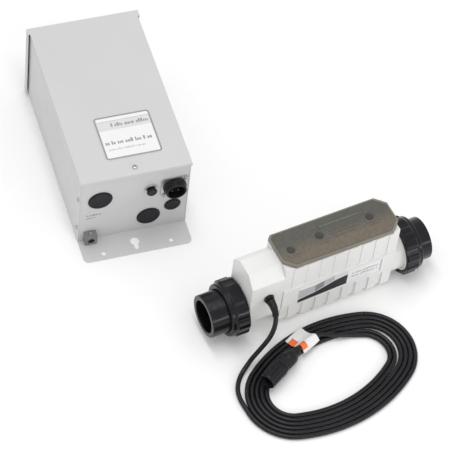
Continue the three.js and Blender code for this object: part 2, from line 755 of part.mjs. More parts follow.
// Blanking plugs: a domed cap outside and a hub through the panel.
Object.entries(PLUGS).forEach(([name, [x, z, radius]]) => {
  const seat = faceY - GAP;
  const hub = 9;
  const dome = 3.2;
  const profile = [
    [0, seat + hub],
    [radius - 3, seat + hub],
    [radius - 3, seat],
    [radius, seat],
    [radius, seat - 1.2],
    [radius - 1.5, seat - dome + 0.6],
    [0, seat - dome],
  ];
  add(box, name, turned(profile, 'y', 32).translate(x, 0, z), blackPlastic);
});

// Resettable breaker: its body inside, a nut outside and a button that is pushed in.
const flangeBack = faceY - GAP; // where pieces seat on the panel's outer face
const bushEnd = -3;
const breakerCase = block(
  [BREAKER.x - 14, panelBack + GAP, BREAKER.z - 10],
  [BREAKER.x + 14, panelBack + 32, BREAKER.z + 10],
);
const breakerBody = cut(
  join(breakerCase, rod('y', bushEnd, panelBack + 4, 6.8, BREAKER.x, BREAKER.z, 24)),
  rod('y', bushEnd - 1, panelBack + 12, 5, BREAKER.x, BREAKER.z, 24),
);
add(box, 'breaker_body', breakerBody, blackPlastic);
const breakerNut = [
  [7.1, flangeBack],
  [11.5, flangeBack],
  [11.5, flangeBack - 3],
  [7.1, flangeBack - 3],
];
add(box, 'breaker_nut', turned(breakerNut, 'y', 24).translate(BREAKER.x, 0, BREAKER.z), steel);
const buttonBack = bushEnd - 0.4 - BREAKER.travel;
const breakerButton = [
  [0, 6],
  [4.4, 6],
  [4.4, buttonBack],
  [BREAKER.radius, buttonBack],
  [BREAKER.radius, buttonBack - 2.5],
  [BREAKER.radius - 1.5, buttonBack - 4],
  [0, buttonBack - 4.4],
];
add(box, 'breaker_button', turned(breakerButton, 'y', 24).translate(BREAKER.x, 0, BREAKER.z), blackPlastic);

// Receptacle for the cell's plug: a barrel through a square flange.
const flangeFace = flangeBack - 2;
function socketFlange() {
  const half = SOCKET.flange / 2;
  const square = roundedRectangle(SOCKET.x - half, SOCKET.z - half, SOCKET.x + half, SOCKET.z + half, 5);
  square.holes.push(circle(SOCKET.x, SOCKET.z, SOCKET.radius + 0.4));
  socketScrewPlaces.forEach(([x, z]) => square.holes.push(circle(x, z, 2.2)));
  return extruded(square, 'y', flangeFace, flangeBack, 8);
}

add(box, 'receptacle_flange', socketFlange(), steel);

function receptacle() {
  const out = flangeFace - SOCKET.out;
  const shell = [
    [0, 14],
    [SOCKET.radius - 3, 14],
    [SOCKET.radius - 3, panelBack + GAP],
    [SOCKET.radius, panelBack + GAP],
    [SOCKET.radius, flangeBack],
    [SOCKET.radius, flangeFace - GAP],
    [SOCKET.radius + 1.5, flangeFace - GAP],
    [SOCKET.radius + 1.5, flangeFace - 4],
    [SOCKET.radius - 0.5, flangeFace - 5],
    [SOCKET.radius - 0.5, out + 1],
    [SOCKET.radius - 1.5, out],
    [SOCKET.bore, out],
    [SOCKET.bore, -1],
    [0, -1],
  ];
  const pins = Array.from({ length: 4 }, (_, i) => {
    const angle = (i / 4 + 0.125) * Math.PI * 2;
    return rod('y', out + SOCKET.pinDepth, 0, 1.6, 8 * Math.cos(angle), 8 * Math.sin(angle), 10);
  });
  return join(turned(shell, 'y', 32), ...pins).translate([SOCKET.x, 0, SOCKET.z]);
}

add(box, 'cell_receptacle', receptacle(), blackPlastic);

socketScrewPlaces.forEach(([x, z], i) => {
  const shape = screw('y', flangeFace - GAP, -1, 3.6, 1.8, 9).translate(x, 0, z);
  add(box, `receptacle_screw_${i + 1}`, shape, steel);
});

// Bonding lug on the bottom panel: a block with a wire hole and its clamping screw.
const lugHalf = LUG.size / 2;
const lugScrewY = flangeBack - LUG.out / 2;
const lugBlock = block(
  [LUG.x - lugHalf, flangeBack - LUG.out, LUG.z - lugHalf],
  [LUG.x + lugHalf, flangeBack, LUG.z + lugHalf],
);
const lugHoles = [
  rod('y', flangeBack - LUG.out - 1, flangeBack + 1, LUG.hole, LUG.x, LUG.z - 2),
  rod('z', LUG.z, LUG.z + lugHalf + 1, 3.2, LUG.x, lugScrewY),
];
add(box, 'bonding_lug', cut(solid(lugBlock), ...lugHoles), steel);
add(box, 'bonding_lug_screw', rod('z', LUG.z, LUG.z + lugHalf + 2, 2.8, LUG.x, lugScrewY), steel);

// Cover: the front and a hooded top end in one sheet, hooked at the rear and screwed at the front.
function frontCover() {
  const { overhang, returnDepth, foot } = HOOD;
  const hoodFace = length + 4;
  const hoodStart = hoodFace - returnDepth;
  const left = -overhang;
  const right = width + overhang;
  const lipFace = -COVER_LIP.out;
  const parts = [
    block([-1, lipFace, coverUnder], [width + 1, hoodFace, coverTop]),
    block([left, hoodStart, coverUnder], [right, hoodFace, coverTop]),
    block([left, hoodFace - sheet, foot], [right, hoodFace, coverTop]),
    block([left, hoodStart, foot], [left + sheet, hoodFace, coverTop]),
    block([right - sheet, hoodStart, foot], [right, hoodFace, coverTop]),
    block([-1, lipFace, coverTop - COVER_LIP.drop], [width + 1, lipFace + sheet, coverTop]),
  ];
  const screwHole = rod('z', coverUnder - 1, coverTop + 1, 2.4, COVER_SCREW.x, COVER_SCREW.y);
  return cut(join(...parts), screwHole);
}

add(box, 'front_cover', frontCover(), paint);
const coverScrew = screw('z', coverTop + GAP, 1, 4.6, 2, 5).translate(COVER_SCREW.x, COVER_SCREW.y, 0);
add(box, 'cover_screw', coverScrew, steel);

const coverLabel = roundedRectangle(
  LABEL.x - LABEL.width / 2,
  LABEL.y - LABEL.height / 2,
  LABEL.x + LABEL.width / 2,
  LABEL.y + LABEL.height / 2,
  3,
);
add(box, 'cover_label', extruded(coverLabel, 'z', coverTop + GAP, coverTop + GAP + 0.4, 6), labelWhite);

// Inside: a transformer on its frame, a rectifier on a finned sink, a board and terminals.
const inside = sheet + GAP; // lowest place on the enclosure's back
const CORE = { left: 58, right: 146, rear: 190, front: 300, low: 14, high: 104 };
const LEG_HALF = 11;
const CORE_WINDOW = 15;
const YOKE = 22;
const coreMiddle = (CORE.left + CORE.right) / 2;
const windowLow = CORE.rear + YOKE;
const windowHigh = CORE.front - YOKE;

function transformerCore() {
  const windows = [-1, 1].map((side) => {
    const [left, right] = span(side, LEG_HALF, LEG_HALF + CORE_WINDOW).map((x) => coreMiddle + x);
    return block([left, windowLow, CORE.low - 1], [right, windowHigh, CORE.high + 1]);
  });
  const stack = block([CORE.left, CORE.rear, CORE.low], [CORE.right, CORE.front, CORE.high]);
  return cut(solid(stack), ...windows);
}

add(box, 'transformer_core', transformerCore(), steel);

function transformerWinding() {
  const reach = LEG_HALF + CORE_WINDOW - 1;
  const build = 11; // the winding's depth above and below the core's leg
  const [low, high] = [CORE.low - build, CORE.high + build];
  const shape = roundedRectangle(coreMiddle - reach, low, coreMiddle + reach, high, 8);
  const [left, right] = [-1, 1].map((side) => coreMiddle + side * (LEG_HALF + 0.5));
  shape.holes.push(roundedRectangle(left, CORE.low - 0.5, right, CORE.high + 0.5, 0.2, THREE.Path));
  return extruded(shape, 'y', windowLow + 1, windowHigh - 1);
}

add(box, 'transformer_winding', transformerWinding(), copper);

function transformerFrame() {
  const foot = 12; // how far the feet reach past the core
  const { left, right, rear, front, low } = CORE;
  const outer = block([left - foot, rear + 4, inside], [right + foot, front - 4, low - GAP]);
  const space = block([left + foot, windowLow - 4, inside - 1], [right - foot, windowHigh + 4, low]);
  const ledges = [
    block([left - foot - 1, rear, inside + 3], [left - GAP, front, low + 1]),
    block([right + GAP, rear, inside + 3], [right + foot + 1, front, low + 1]),
  ];
  return cut(solid(outer), space, ...ledges);
}

add(box, 'transformer_frame', transformerFrame(), steel);

const SINK = { left: 14, right: 50, rear: 62, front: 150, fins: 6, finHeight: 34 };
function heatSink() {
  const fins = Array.from({ length: SINK.fins }, (_, i) => {
    const x = SINK.left + (i * (SINK.right - SINK.left - 2)) / (SINK.fins - 1);
    return block([x, SINK.rear + 34, inside + 3], [x + 2, SINK.front, inside + SINK.finHeight]);
  });
  return join(block([SINK.left, SINK.rear, inside], [SINK.right, SINK.front, inside + 4]), ...fins);
}

add(box, 'heat_sink', heatSink(), steel);
const bridgeLow = inside + 4 + GAP;
add(box, 'rectifier_bridge', block([18, 65, bridgeLow], [46, 92, bridgeLow + 10]), blackPlastic);

const BOARD = { left: 62, right: 192, rear: 66, front: 172, height: 12 };
function powerBoard() {
  const { left, right, rear, front, height } = BOARD;
  const corners = [left + 5, right - 5].flatMap((x) => [rear + 5, front - 5].map((y) => [x, y]));
  const posts = corners.map(([x, y]) => rod('z', inside, height + 1, 3, x, y, 12));
  const capacitors = [100, 128].map((x) => rod('z', height + 1, height + 36, 11, x, 146));
  const relays = [82, 110, 138].map((x) => block([x, 84, height + 1], [x + 20, 112, height + 18]));
  const board = block([left, rear, height], [right, front, height + 1.6]);
  return join(board, ...posts, ...capacitors, ...relays);
}

add(box, 'power_board', powerBoard(), boardGreen);

const TERMINALS = { left: 64, right: 160, rear: 38, front: 58, height: 18, count: 6 };
function terminalBlock() {
  const { left, right, rear, front, height, count } = TERMINALS;
  const pitch = (right - left) / count;
  const pockets = Array.from({ length: count }, (_, i) => {
    const x = left + (i + 0.5) * pitch;
    return block([x - 5.5, rear - 1, inside + 6], [x + 5.5, front - 4, inside + height + 1]);
  });
  const bar = block([left, rear, inside], [right, front, inside + height]);
  return cut(solid(bar), ...pockets);
}

add(box, 'terminal_block', terminalBlock(), blackPlastic);

const generator = new THREE.Group();
generator.add(cell, cords, box);

export default generator;
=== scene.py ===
"""Looks of a pool salt chlorine generator: a sheet-metal power centre lying on its back, and a
flow cell with pipe unions, a control panel and a coiled lead with its plug.
Metres, +Z up, in the frame of the CAD model that it loads."""

import math
import random

import bmesh
import bpy
from mathutils import Matrix, Vector


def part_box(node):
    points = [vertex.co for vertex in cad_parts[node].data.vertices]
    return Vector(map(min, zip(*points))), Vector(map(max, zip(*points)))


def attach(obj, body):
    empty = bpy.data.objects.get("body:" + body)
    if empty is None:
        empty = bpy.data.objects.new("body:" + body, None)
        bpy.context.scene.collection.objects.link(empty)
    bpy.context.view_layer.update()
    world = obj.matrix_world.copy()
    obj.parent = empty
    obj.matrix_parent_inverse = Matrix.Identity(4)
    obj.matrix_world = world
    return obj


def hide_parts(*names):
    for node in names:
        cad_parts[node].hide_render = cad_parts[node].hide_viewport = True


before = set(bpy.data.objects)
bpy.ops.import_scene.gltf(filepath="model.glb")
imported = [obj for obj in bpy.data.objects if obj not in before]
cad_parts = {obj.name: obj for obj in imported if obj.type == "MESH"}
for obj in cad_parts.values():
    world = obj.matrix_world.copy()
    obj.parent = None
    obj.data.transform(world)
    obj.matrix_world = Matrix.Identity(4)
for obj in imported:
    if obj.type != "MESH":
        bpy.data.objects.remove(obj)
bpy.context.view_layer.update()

# ------------------------------------------------------------------ driving values

MM = 0.001
CAMERA = {
    "place": (-1.5936, -2.0988, 3.6506),
    "azimuth": -33.02,
    "elevation": 53.11,
    "roll": 8.0,
    "lens": 200,
}

GAP = 0.3  # between pieces that touch, in millimetres

# Flow cell: the pipe's axis runs along X at this height. The rest is in millimetres.
AXIS = 54.5 * MM
FACES = {"inlet": -178, "outlet": 134}  # along the axis, where the unions start
TAIL_ENDS = {"inlet": 69, "outlet": 59}  # from there to the tailpieces' open ends
NUT = {
    "radius": 50.4,
    "length": 36,
    "bore": 45.2,
    "lip": 27.2,
    "lip_bore": 40.4,
    "lug": 2.5,
    "lugs": 12,
}
TAIL = {"radius": 39.5, "flange": 44, "socket": 30.3, "stop": 26.5, "depth": 32}
O_RING = {"radius": 37.5, "section": 1.5, "squeezed": 1.1}
CELL_BOARD_TOP = 9.8  # above the feet of the board's stand-offs
LAMP = {"count": 8, "half_length": 1.8, "half_width": 1.2, "corner": 1.1}
KEY_RING = {"outer": 9.2, "inner": 8.4}

# Power centre: the place of its back's lower left corner and its turn. Its parts are placed in
# millimetres from that corner: x across, y along from its lower end, z up from the floor.
BOX_CORNER = (-364, 270)
BOX_TURN = -9.5
COVER_TOP = 174
PANEL_FACE = 0.5  # y of the bottom panel's outer face
KNOCKOUTS = {"left": (38, 112, 22.5), "centre": (131, 38, 22), "right": (175, 59, 15.5)}
BREAKER = (131, 118)
SOCKET = {
    "x": 175,
    "z": 114,
    "radius": 20,
    "bore": 16,
    "face": -1.8,
    "mouth": -15.8,
    "screws": 19.5,
}
COVER_LABEL = {"x": 109, "y": 85, "width": 105, "height": 98, "rise": 0.7}
COVER_SCREW = (101.5, 12)
PANEL_MARK = (14, PANEL_FACE, 62)
POWER_BOARD = {"underside": 11.9, "top": 13.7, "cans_beyond": 125}  # z, z and y
SIDE_SCREWS = {
    "left_front": (0, 114),
    "left_rear": (0, 33),
    "right_front": (203, 120),
    "right_rear": (203, 46),
}
SIDE_SCREW_Y = 9

# The lead, from the gland on the flow cell's end cap to the back of the plug
CORD_RADIUS = 4.3 * MM
GLAND = (-0.143, -0.037, 0.1025)  # where it leaves the end cap
RELIEF = {"start": 6.8, "length": 34, "wide": 8.2, "narrow": 5.3, "grooves": 7}
COIL = {
    "centre": (-0.076, -0.167),
    "turn": math.radians(9),
    "half_length": 0.171,
    "half_width": 0.107,
    "end_radius": 0.088,
    "pitch": 8.65 * MM,
    "height": 4.6 * MM,
    "start": 170,
    "turns": 5.694,
    "steps": 48,
    "bow": 5 * MM,
    "bow_at": math.radians(8),
    "bow_after": 4,
}
LEAD_ROUTE = [
    (-0.1430, -0.0360, 0.1025),
    (-0.1430, -0.0460, 0.1025),
    (-0.1432, -0.0560, 0.1018),
    (-0.1445, -0.0660, 0.0982),
    (-0.1470, -0.0750, 0.0913),
    (-0.1510, -0.0815, 0.0810),
    (-0.1565, -0.0853, 0.0685),
    (-0.1630, -0.0870, 0.0550),
    (-0.1715, -0.0875, 0.0410),
    (-0.1820, -0.0885, 0.0280),
    (-0.1950, -0.0915, 0.0165),
    (-0.2080, -0.0975, 0.0088),
    (-0.2210, -0.1060, 0.0046),
    (-0.2325, -0.1175, 0.0046),
    (-0.2415, -0.1320, 0.0046),
    (-0.2463, -0.1510, 0.0046),
]
# From the coil's innermost strand the lead climbs over its neighbours to the back of the plug.
CLIMB_ROUTE = [
    (-0.0039, -0.1110, 0.0056),
    (-0.0228, -0.1064, 0.0104),
    (-0.0400, -0.1000, 0.0135),
]
TAIL_ROUTE = [
    (-0.0580, -0.0930, 0.0146),
    (-0.0760, -0.0945, 0.0180),
    (-0.0950, -0.1020, 0.0225),
    (-0.1070, -0.1077, 0.0252),
    (-0.1136, -0.1108, 0.0256),
]
PLUG_REAR = Vector((-0.114, -0.111, 0.0256))
PLUG_FRONT = Vector((-0.196, -0.150, 0.0256))
TAG = {"centre": (-0.0930, -0.0900), "turn": 22, "length": 42, "width": 44, "rest": 9.4}

INK = 0.05 * MM  # how far a printed mark stands out

# The studio, in metres and watts
FLOOR_REACH = 6
SKY = 0.8
LIGHTS = {
    "overhead": {
        "place": (-0.3, 0.2, 2.4),
        "target": (-0.05, 0.2, 0),
        "size": (1.8, 0.4),
        "power": 18,
    },
    "front": {
        "place": (0.4, -1.4, 0.55),
        "target": (0, 0, 0.05),
        "size": (1.6, 0.12),
        "power": 5,
    },
}

# ------------------------------------------------------------------ materials


def shader_of(name, color, roughness, metallic=0.0, coat=0.0, subsurface=0.0, specular=0.5):
    """A new material with its shader's plain values set, and its node tree."""
    material = bpy.data.materials.new(name)
    material.use_nodes = True
    tree = material.node_tree
    shader = tree.nodes["Principled BSDF"]
    shader.inputs["Base Color"].default_value = (*color, 1)
    shader.inputs["Roughness"].default_value = roughness
    shader.inputs["Metallic"].default_value = metallic
    shader.inputs["Specular IOR Level"].default_value = specular
    shader.inputs["Coat Weight"].default_value = coat
    shader.inputs["Coat Roughness"].default_value = 0.15
    shader.inputs["Subsurface Weight"].default_value = subsurface
    shader.inputs["Subsurface Scale"].default_value = 0.002
    return material, tree, shader


def coordinates(tree, stretch=(1, 1, 1)):
    """The object's own coordinates, stretched along its axes."""
    source = tree.nodes.new("ShaderNodeTexCoord")
    mapping = tree.nodes.new("ShaderNodeMapping")
    mapping.inputs["Scale"].default_value = stretch
    tree.links.new(source.outputs["Object"], mapping.inputs["Vector"])
    return mapping.outputs["Vector"]


def noise_at(tree, where, size, detail=3):
    """A noise whose patches are about that size, in metres."""
    texture = tree.nodes.new("ShaderNodeTexNoise")
    texture.inputs["Scale"].default_value = 1 / size
    texture.inputs["Detail"].default_value = detail
    tree.links.new(where, texture.inputs["Vector"])
    return texture.outputs["Fac"]


def ranged(tree, value, low, high, start=0.3, end=0.7):
    """A value between start and end, spread over another range."""
    node = tree.nodes.new("ShaderNodeMapRange")
    node.inputs["From Min"].default_value = start
    node.inputs["From Max"].default_value = end
    node.inputs["To Min"].default_value = low
    node.inputs["To Max"].default_value = high
    tree.links.new(value, node.inputs["Value"])
    return node.outputs["Result"]


def shades(tree, value, dark, light):
    """A colour between two shades."""
    node = tree.nodes.new("ShaderNodeValToRGB")
    node.color_ramp.elements[0].position = 0.3
    node.color_ramp.elements[1].position = 0.7
    node.color_ramp.elements[0].color = (*dark, 1)
    node.color_ramp.elements[1].color = (*light, 1)
    tree.links.new(value, node.inputs["Fac"])
    return node.outputs["Color"]


def bumped(tree, shader, height, depth, below=None):
    """Adds a bump of that depth in metres to a shader, over another one if it is given."""
    node = tree.nodes.new("ShaderNodeBump")
    node.inputs["Distance"].default_value = depth
    tree.links.new(height, node.inputs["Height"])
    if below is not None:
        tree.links.new(below, node.inputs["Normal"])
    tree.links.new(node.outputs["Normal"], shader.inputs["Normal"])
    return node.outputs["Normal"]


def mottled(
    name,
    color,
    roughness,
    spread=0.05,
    patch=0.04,
    grain=0.0008,
    depth=0.00003,
    waviness=0.0,
    stretch=(1, 1, 1),
    **values,
):
    """A surface with soft patches of shade and gloss, a fine grain and, if asked, a slow wave."""
    material, tree, shader = shader_of(name, color, roughness, **values)
    where = coordinates(tree, stretch)
    patches = noise_at(tree, where, patch)
    dark = [channel * (1 - spread) for channel in color]
    light = [min(1, channel * (1 + spread)) for channel in color]
    tree.links.new(shades(tree, patches, dark, light), shader.inputs["Base Color"])
    gloss = noise_at(tree, where, patch / 3, 5)
    low, high = max(0.05, roughness - 0.06), min(1, roughness + 0.06)
    tree.links.new(ranged(tree, gloss, low, high), shader.inputs["Roughness"])
    normal = None
    if waviness:
        normal = bumped(tree, shader, noise_at(tree, where, 0.02, 1), waviness)
    bumped(tree, shader, noise_at(tree, where, grain, 2), depth, normal)
    return material


def striped(name, color, roughness, period, depth, direction, contrast=0.25, **values):
    """Fine parallel ridges, such as a winding's wires or a core's laminations."""
    material, tree, shader = shader_of(name, color, roughness, **values)
    source = tree.nodes.new("ShaderNodeTexCoord")
    turn = tree.nodes.new("ShaderNodeMapping")
    turn.inputs["Rotation"].default_value = (0, 0, math.radians(-BOX_TURN))
    tree.links.new(source.outputs["Object"], turn.inputs["Vector"])
    wave = tree.nodes.new("ShaderNodeTexWave")
    wave.bands_direction = direction
    # At scale 1 this node's sine runs 20 radians in a metre.
    wave.inputs["Scale"].default_value = 2 * math.pi / (20 * period)
    wave.inputs["Distortion"].default_value = 0.4
    wave.inputs["Detail Scale"].default_value = 0.3
    tree.links.new(turn.outputs["Vector"], wave.inputs["Vector"])
    dark = [channel * (1 - contrast) for channel in color]
    tree.links.new(shades(tree, wave.outputs["Fac"], dark, color), shader.inputs["Base Color"])
    bumped(tree, shader, wave.outputs["Fac"], depth)
    return material


def panel_film():
    """Smoked grey-brown film, finely mottled, with painted light: its colour runs lighter and
    warmer towards its near edge.
    """
    material, tree, shader = shader_of("panel_film", (0.2, 0.18, 0.15), 0.34, coat=0.2)
    where = coordinates(tree)
    split = tree.nodes.new("ShaderNodeSeparateXYZ")
    tree.links.new(where, split.inputs["Vector"])
    far_edge, near_edge = 0.03, -0.036
    # Painted light: the base colour goes from darker at the far edge to lighter and warmer at the
    # near edge.
    across = ranged(tree, split.outputs["Y"], 0, 1, far_edge, near_edge)
    base = shades(tree, across, (0.09, 0.087, 0.072), (0.155, 0.128, 0.094))
    speckle = shades(tree, noise_at(tree, where, 0.007, 4), (0.72, 0.72, 0.7), (1, 1, 1))
    mix = tree.nodes.new("ShaderNodeMix")
    mix.data_type = "RGBA"
    mix.blend_type = "MULTIPLY"
    mix.inputs["Factor"].default_value = 0.9
    tree.links.new(base, mix.inputs["A"])
    tree.links.new(speckle, mix.inputs["B"])
    tree.links.new(mix.outputs["Result"], shader.inputs["Base Color"])
    gloss = noise_at(tree, where, 0.03, 4)
    tree.links.new(ranged(tree, gloss, 0.28, 0.42), shader.inputs["Roughness"])
    bumped(tree, shader, noise_at(tree, where, 0.0007, 2), 0.00002)
    return material


def lamp_glow(name, color, strength):
    """A small lens that glows a little."""
    material, _, shader = shader_of(name, color, 0.2, coat=0.5)
    shader.inputs["Emission Color"].default_value = (*color, 1)
    shader.inputs["Emission Strength"].default_value = strength
    return material


# After the colour and the roughness come the spread of the shade, the size of its patches, and the
# grain's size and depth.
PAINT = mottled("grey_paint", (0.585, 0.585, 0.59), 0.42, 0.015, 0.12, 0.0012, 0.00007, 0.00005)
WHITE = mottled("white_abs", (0.75, 0.75, 0.735), 0.36, 0.015, 0.05, 0.0009, subsurface=0.04)
PVC = mottled(
    "black_pvc", (0.006, 0.006, 0.008), 0.2, 0.25, 0.02, 0.0006, 0.00002, 0.00004, specular=0.28
)
BLACK = mottled("black_plastic", (0.008, 0.008, 0.01), 0.38, 0.2, 0.01, 0.0005, specular=0.25)
DOME = mottled("black_dome", (0.014, 0.014, 0.017), 0.5, 0.15, 0.01, 0.0005, specular=0.2)
RUBBER = mottled("seal_rubber", (0.014, 0.014, 0.014), 0.6, 0.2, 0.008, 0.0005, specular=0.2)
JACKET = mottled(
    "cord_jacket", (0.009, 0.009, 0.011), 0.3, 0.25, 0.03, waviness=0.00008, specular=0.3
)
PANEL = panel_film()
PANEL_EDGE = mottled("panel_edge", (0.19, 0.175, 0.145), 0.45, 0.08, 0.02)
PANEL_INK = mottled("panel_ink", (0.075, 0.07, 0.062), 0.5, 0.1, 0.01)
BUTTON = mottled("button_pad", (0.04, 0.036, 0.034), 0.4, 0.1, 0.006)
LENS = mottled("lamp_lens", (0.1, 0.097, 0.085), 0.14, 0.1, 0.01, coat=0.6)
LAMP_GREEN = lamp_glow("lamp_green", (0.05, 0.16, 0.07), 0.04)
LAMP_RED = lamp_glow("lamp_red", (0.2, 0.03, 0.02), 0.04)
ZINC = mottled("zinc_steel", (0.55, 0.55, 0.56), 0.34, 0.1, 0.008, 0.0004, metallic=1.0)
LUG = mottled("tinned_lug", (0.3, 0.3, 0.3), 0.4, 0.15, 0.006, 0.0006, 0.00006, metallic=0.9)
BRASS = mottled("contact_brass", (0.3, 0.24, 0.15), 0.35, 0.1, 0.004, metallic=1.0)
ALUMINIUM = mottled(
    "bare_aluminium", (0.72, 0.73, 0.74), 0.32, 0.06, 0.01, stretch=(1, 0.05, 1), metallic=1.0
)
TITANIUM = mottled("coated_titanium", (0.16, 0.165, 0.17), 0.55, 0.15, 0.01, metallic=0.7)
CORE = striped("core_steel", (0.26, 0.26, 0.27), 0.45, 0.0012, 0.00015, "Z", metallic=0.8)
COPPER = striped("winding", (0.62, 0.3, 0.14), 0.3, 0.0014, 0.0003, "Y", 0.5, metallic=0.9)
BOARD = mottled("circuit_board", (0.03, 0.14, 0.06), 0.35, 0.3, 0.003, 0.0012, coat=0.3)
CAN = mottled("capacitor_sleeve", (0.03, 0.045, 0.12), 0.3, 0.1, 0.01, coat=0.3)
RELAY = mottled("relay_case", (0.05, 0.16, 0.3), 0.35, 0.08, 0.01)
LABEL = mottled("label_film", (0.8, 0.8, 0.8), 0.4, 0.01, 0.03)
INK_GREY = mottled("ink_grey", (0.24, 0.24, 0.25), 0.45, 0.05, 0.02)
INK_PRINT = mottled("ink_print", (0.3, 0.3, 0.31), 0.45, 0.05, 0.02)
INK_PALE = mottled("ink_pale", (0.46, 0.46, 0.47), 0.45, 0.04, 0.02)
INK_FAINT = mottled("ink_faint", (0.66, 0.66, 0.67), 0.45, 0.02, 0.02)
INK_BLACK = mottled("ink_black", (0.02, 0.02, 0.022), 0.35, 0.1, 0.02)
TAG_WHITE = mottled("tag_film", (0.8, 0.8, 0.79), 0.42, 0.02, 0.01)
TAG_ORANGE = mottled("tag_orange", (0.85, 0.17, 0.04), 0.45, 0.12, 0.004)

# ------------------------------------------------------------------ mesh tools


def in_metres(points):
    return [tuple(value * MM for value in point) for point in points]


def finished(name, mesh, body, materials, replaced=(), angle=35):
    """Links a mesh as a piece on a body, smooth except over sharp edges."""
    for polygon in mesh.polygons:
        polygon.use_smooth = True
    mesh.set_sharp_from_angle(angle=math.radians(angle))
    for material in materials:
        mesh.materials.append(material)
    piece = bpy.data.objects.new(name, mesh)
    bpy.context.scene.collection.objects.link(piece)
    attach(piece, body)
    if replaced:
        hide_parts(*replaced)
    return piece


def mesh_from(bm, name):
    bmesh.ops.recalc_face_normals(bm, faces=bm.faces)
    mesh = bpy.data.meshes.new(name)
    bm.to_mesh(mesh)
    bm.free()
    return mesh


def refined(node, body, materials, rounding, pick=None):
    """A CAD node's shape with its flat faces made whole and its edges rounded. pick(place) gives
    the number of the material at a place, for a node with parts of several materials."""
    bm = bmesh.new()
    bm.from_mesh(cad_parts[node].data)
    bmesh.ops.remove_doubles(bm, verts=bm.verts, dist=2e-6)
    flat = math.radians(0.5)
    bmesh.ops.dissolve_limit(bm, angle_limit=flat, verts=bm.verts, edges=bm.edges)
    for face in bm.faces:
        face.material_index = pick(face.calc_center_median()) if pick else 0
    mesh = mesh_from(bm, node + "_finish")
    piece = finished(mesh.name, mesh, body, materials, [node])
    bevel = piece.modifiers.new("rounded", "BEVEL")
    bevel.width = rounding * MM
    bevel.segments = 3
    bevel.limit_method = "ANGLE"
    bevel.angle_limit = math.radians(40)
    bevel.miter_outer = "MITER_ARC"
    piece.modifiers.new("flat_shading", "WEIGHTED_NORMAL").keep_sharp = True
    return piece


def filleted(profile, radius, steps=3, closed=False):
    """The profile, in millimetres, with its corners cut by short curves, in metres."""
    points = [Vector(point) for point in in_metres(profile)]
    radius *= MM
    made = []
    for i, corner in enumerate(points):
        if not closed and i in (0, len(points) - 1):
            made.append(corner)
            continue
        before = points[i - 1] - corner
        after = points[(i + 1) % len(points)] - corner
        reach = min(radius, before.length * 0.45, after.length * 0.45)
        start = corner + before.normalized() * reach
        end = corner + after.normalized() * reach
        for step in range(steps + 1):
            t = step / steps
            made.append(start * (1 - t) ** 2 + corner * 2 * t * (1 - t) + end * t**2)
    return made


def turned(bm, profile, place, sides=96, closed=False, shape=None, material=0):
    """Adds a profile of (radius, along), in metres, turned about the place's Z axis. Where it
    isn't round, shape(angle, radius, along) gives the radius and the place along."""
    rings = []
    for radius, along in profile:
        count = sides if radius else 1
        ring = []
        for side in range(count):
            angle = 2 * math.pi * side / sides
            r, z = shape(angle, radius, along) if shape and radius else (radius, along)
            ring.append(bm.verts.new(place @ Vector((r * math.cos(angle), r * math.sin(angle), z))))
        rings.append(ring if count > 1 else ring * sides)
    pairs = list(zip(rings, rings[1:]))
    if closed:
        pairs.append((rings[-1], rings[0]))
    for low, high in pairs:
        for side in range(sides):
            after = (side + 1) % sides
            corners = list(dict.fromkeys([low[side], low[after], high[after], high[side]]))
            if len(corners) > 2:
                bm.faces.new(corners).material_index = material


def prism(bm, points, place, low, high, material=0):
    """Adds a flat outline of (u, v) points, in metres, with a thickness along the place's Z."""
    bottom = [bm.verts.new(place @ Vector((u, v, low))) for u, v in points]
    top = [bm.verts.new(place @ Vector((u, v, high))) for u, v in points]
    faces = [bm.faces.new(top), bm.faces.new(bottom[::-1])]
    for i in range(len(points)):
        j = (i + 1) % len(points)
        faces.append(bm.faces.new([bottom[i], bottom[j], top[j], top[i]]))
    for face in faces:
        face.material_index = material


def rectangle(left, low, right, high):
    return [(left, low), (right, low), (right, high), (left, high)]


def rounded_rectangle(left, low, right, high, radius, steps=5):
    """The (u, v) points of a rectangle with round corners."""
    centres = [
        (right - radius, high - radius),
        (left + radius, high - radius),
        (left + radius, low + radius),
        (right - radius, low + radius),
    ]
    points = []
    for quarter, (u, v) in enumerate(centres):
        for step in range(steps + 1):
            angle = (quarter + step / steps) * math.pi / 2
            points.append((u + radius * math.cos(angle), v + radius * math.sin(angle)))
    return points


def disc(u, v, radius, sides=40):
    angles = [2 * math.pi * side / sides for side in range(sides)]
    return [(u + radius * math.cos(a), v + radius * math.sin(a)) for a in angles]


def band(bm, outer, inner, place, low, high, material=0):
    """Adds the band between two outlines that have the same number of points."""
    rings = []
    for outline, level in ((outer, low), (outer, high), (inner, high), (inner, low)):
        rings.append([bm.verts.new(place @ Vector((u, v, level))) for u, v in outline])
    for near, far in zip(rings, rings[1:] + rings[:1]):
        for i in range(len(outer)):
            j = (i + 1) % len(outer)
            bm.faces.new([near[i], near[j], far[j], far[i]]).material_index = material


def mark(bm, points, place, material=0):
    """Adds a printed mark on the place's plane, a little of it in the surface."""
    prism(bm, points, place, -INK, INK, material)


def print_line(bm, place, left, right, base, height, seed, material=0):
    """Adds a row of upright bars in uneven groups, which stands for a line of print. Metres."""
    dice = random.Random(seed)
    u = left
    while u < right:
        width = min(height * dice.uniform(0.25, 0.5), right - u)
        tall = height * dice.choice((0.62, 0.62, 0.7, 1))
        mark(bm, rectangle(u, base, u + width, base + tall), place, material)
        u += width + height * dice.choice((0.12, 0.12, 0.14, 0.5))


def placed(origin, direction, upright=(0, 0, 1)):
    """A place whose Z axis runs along a direction from an origin."""
    z = Vector(direction).normalized()
    x = Vector(upright).cross(z)
    if x.length < 1e-6:
        x = Vector((1, 0, 0))
    x.normalize()
    turn = Matrix((x, z.cross(x), z)).transposed().to_4x4()
    return Matrix.Translation(Vector(origin)) @ turn


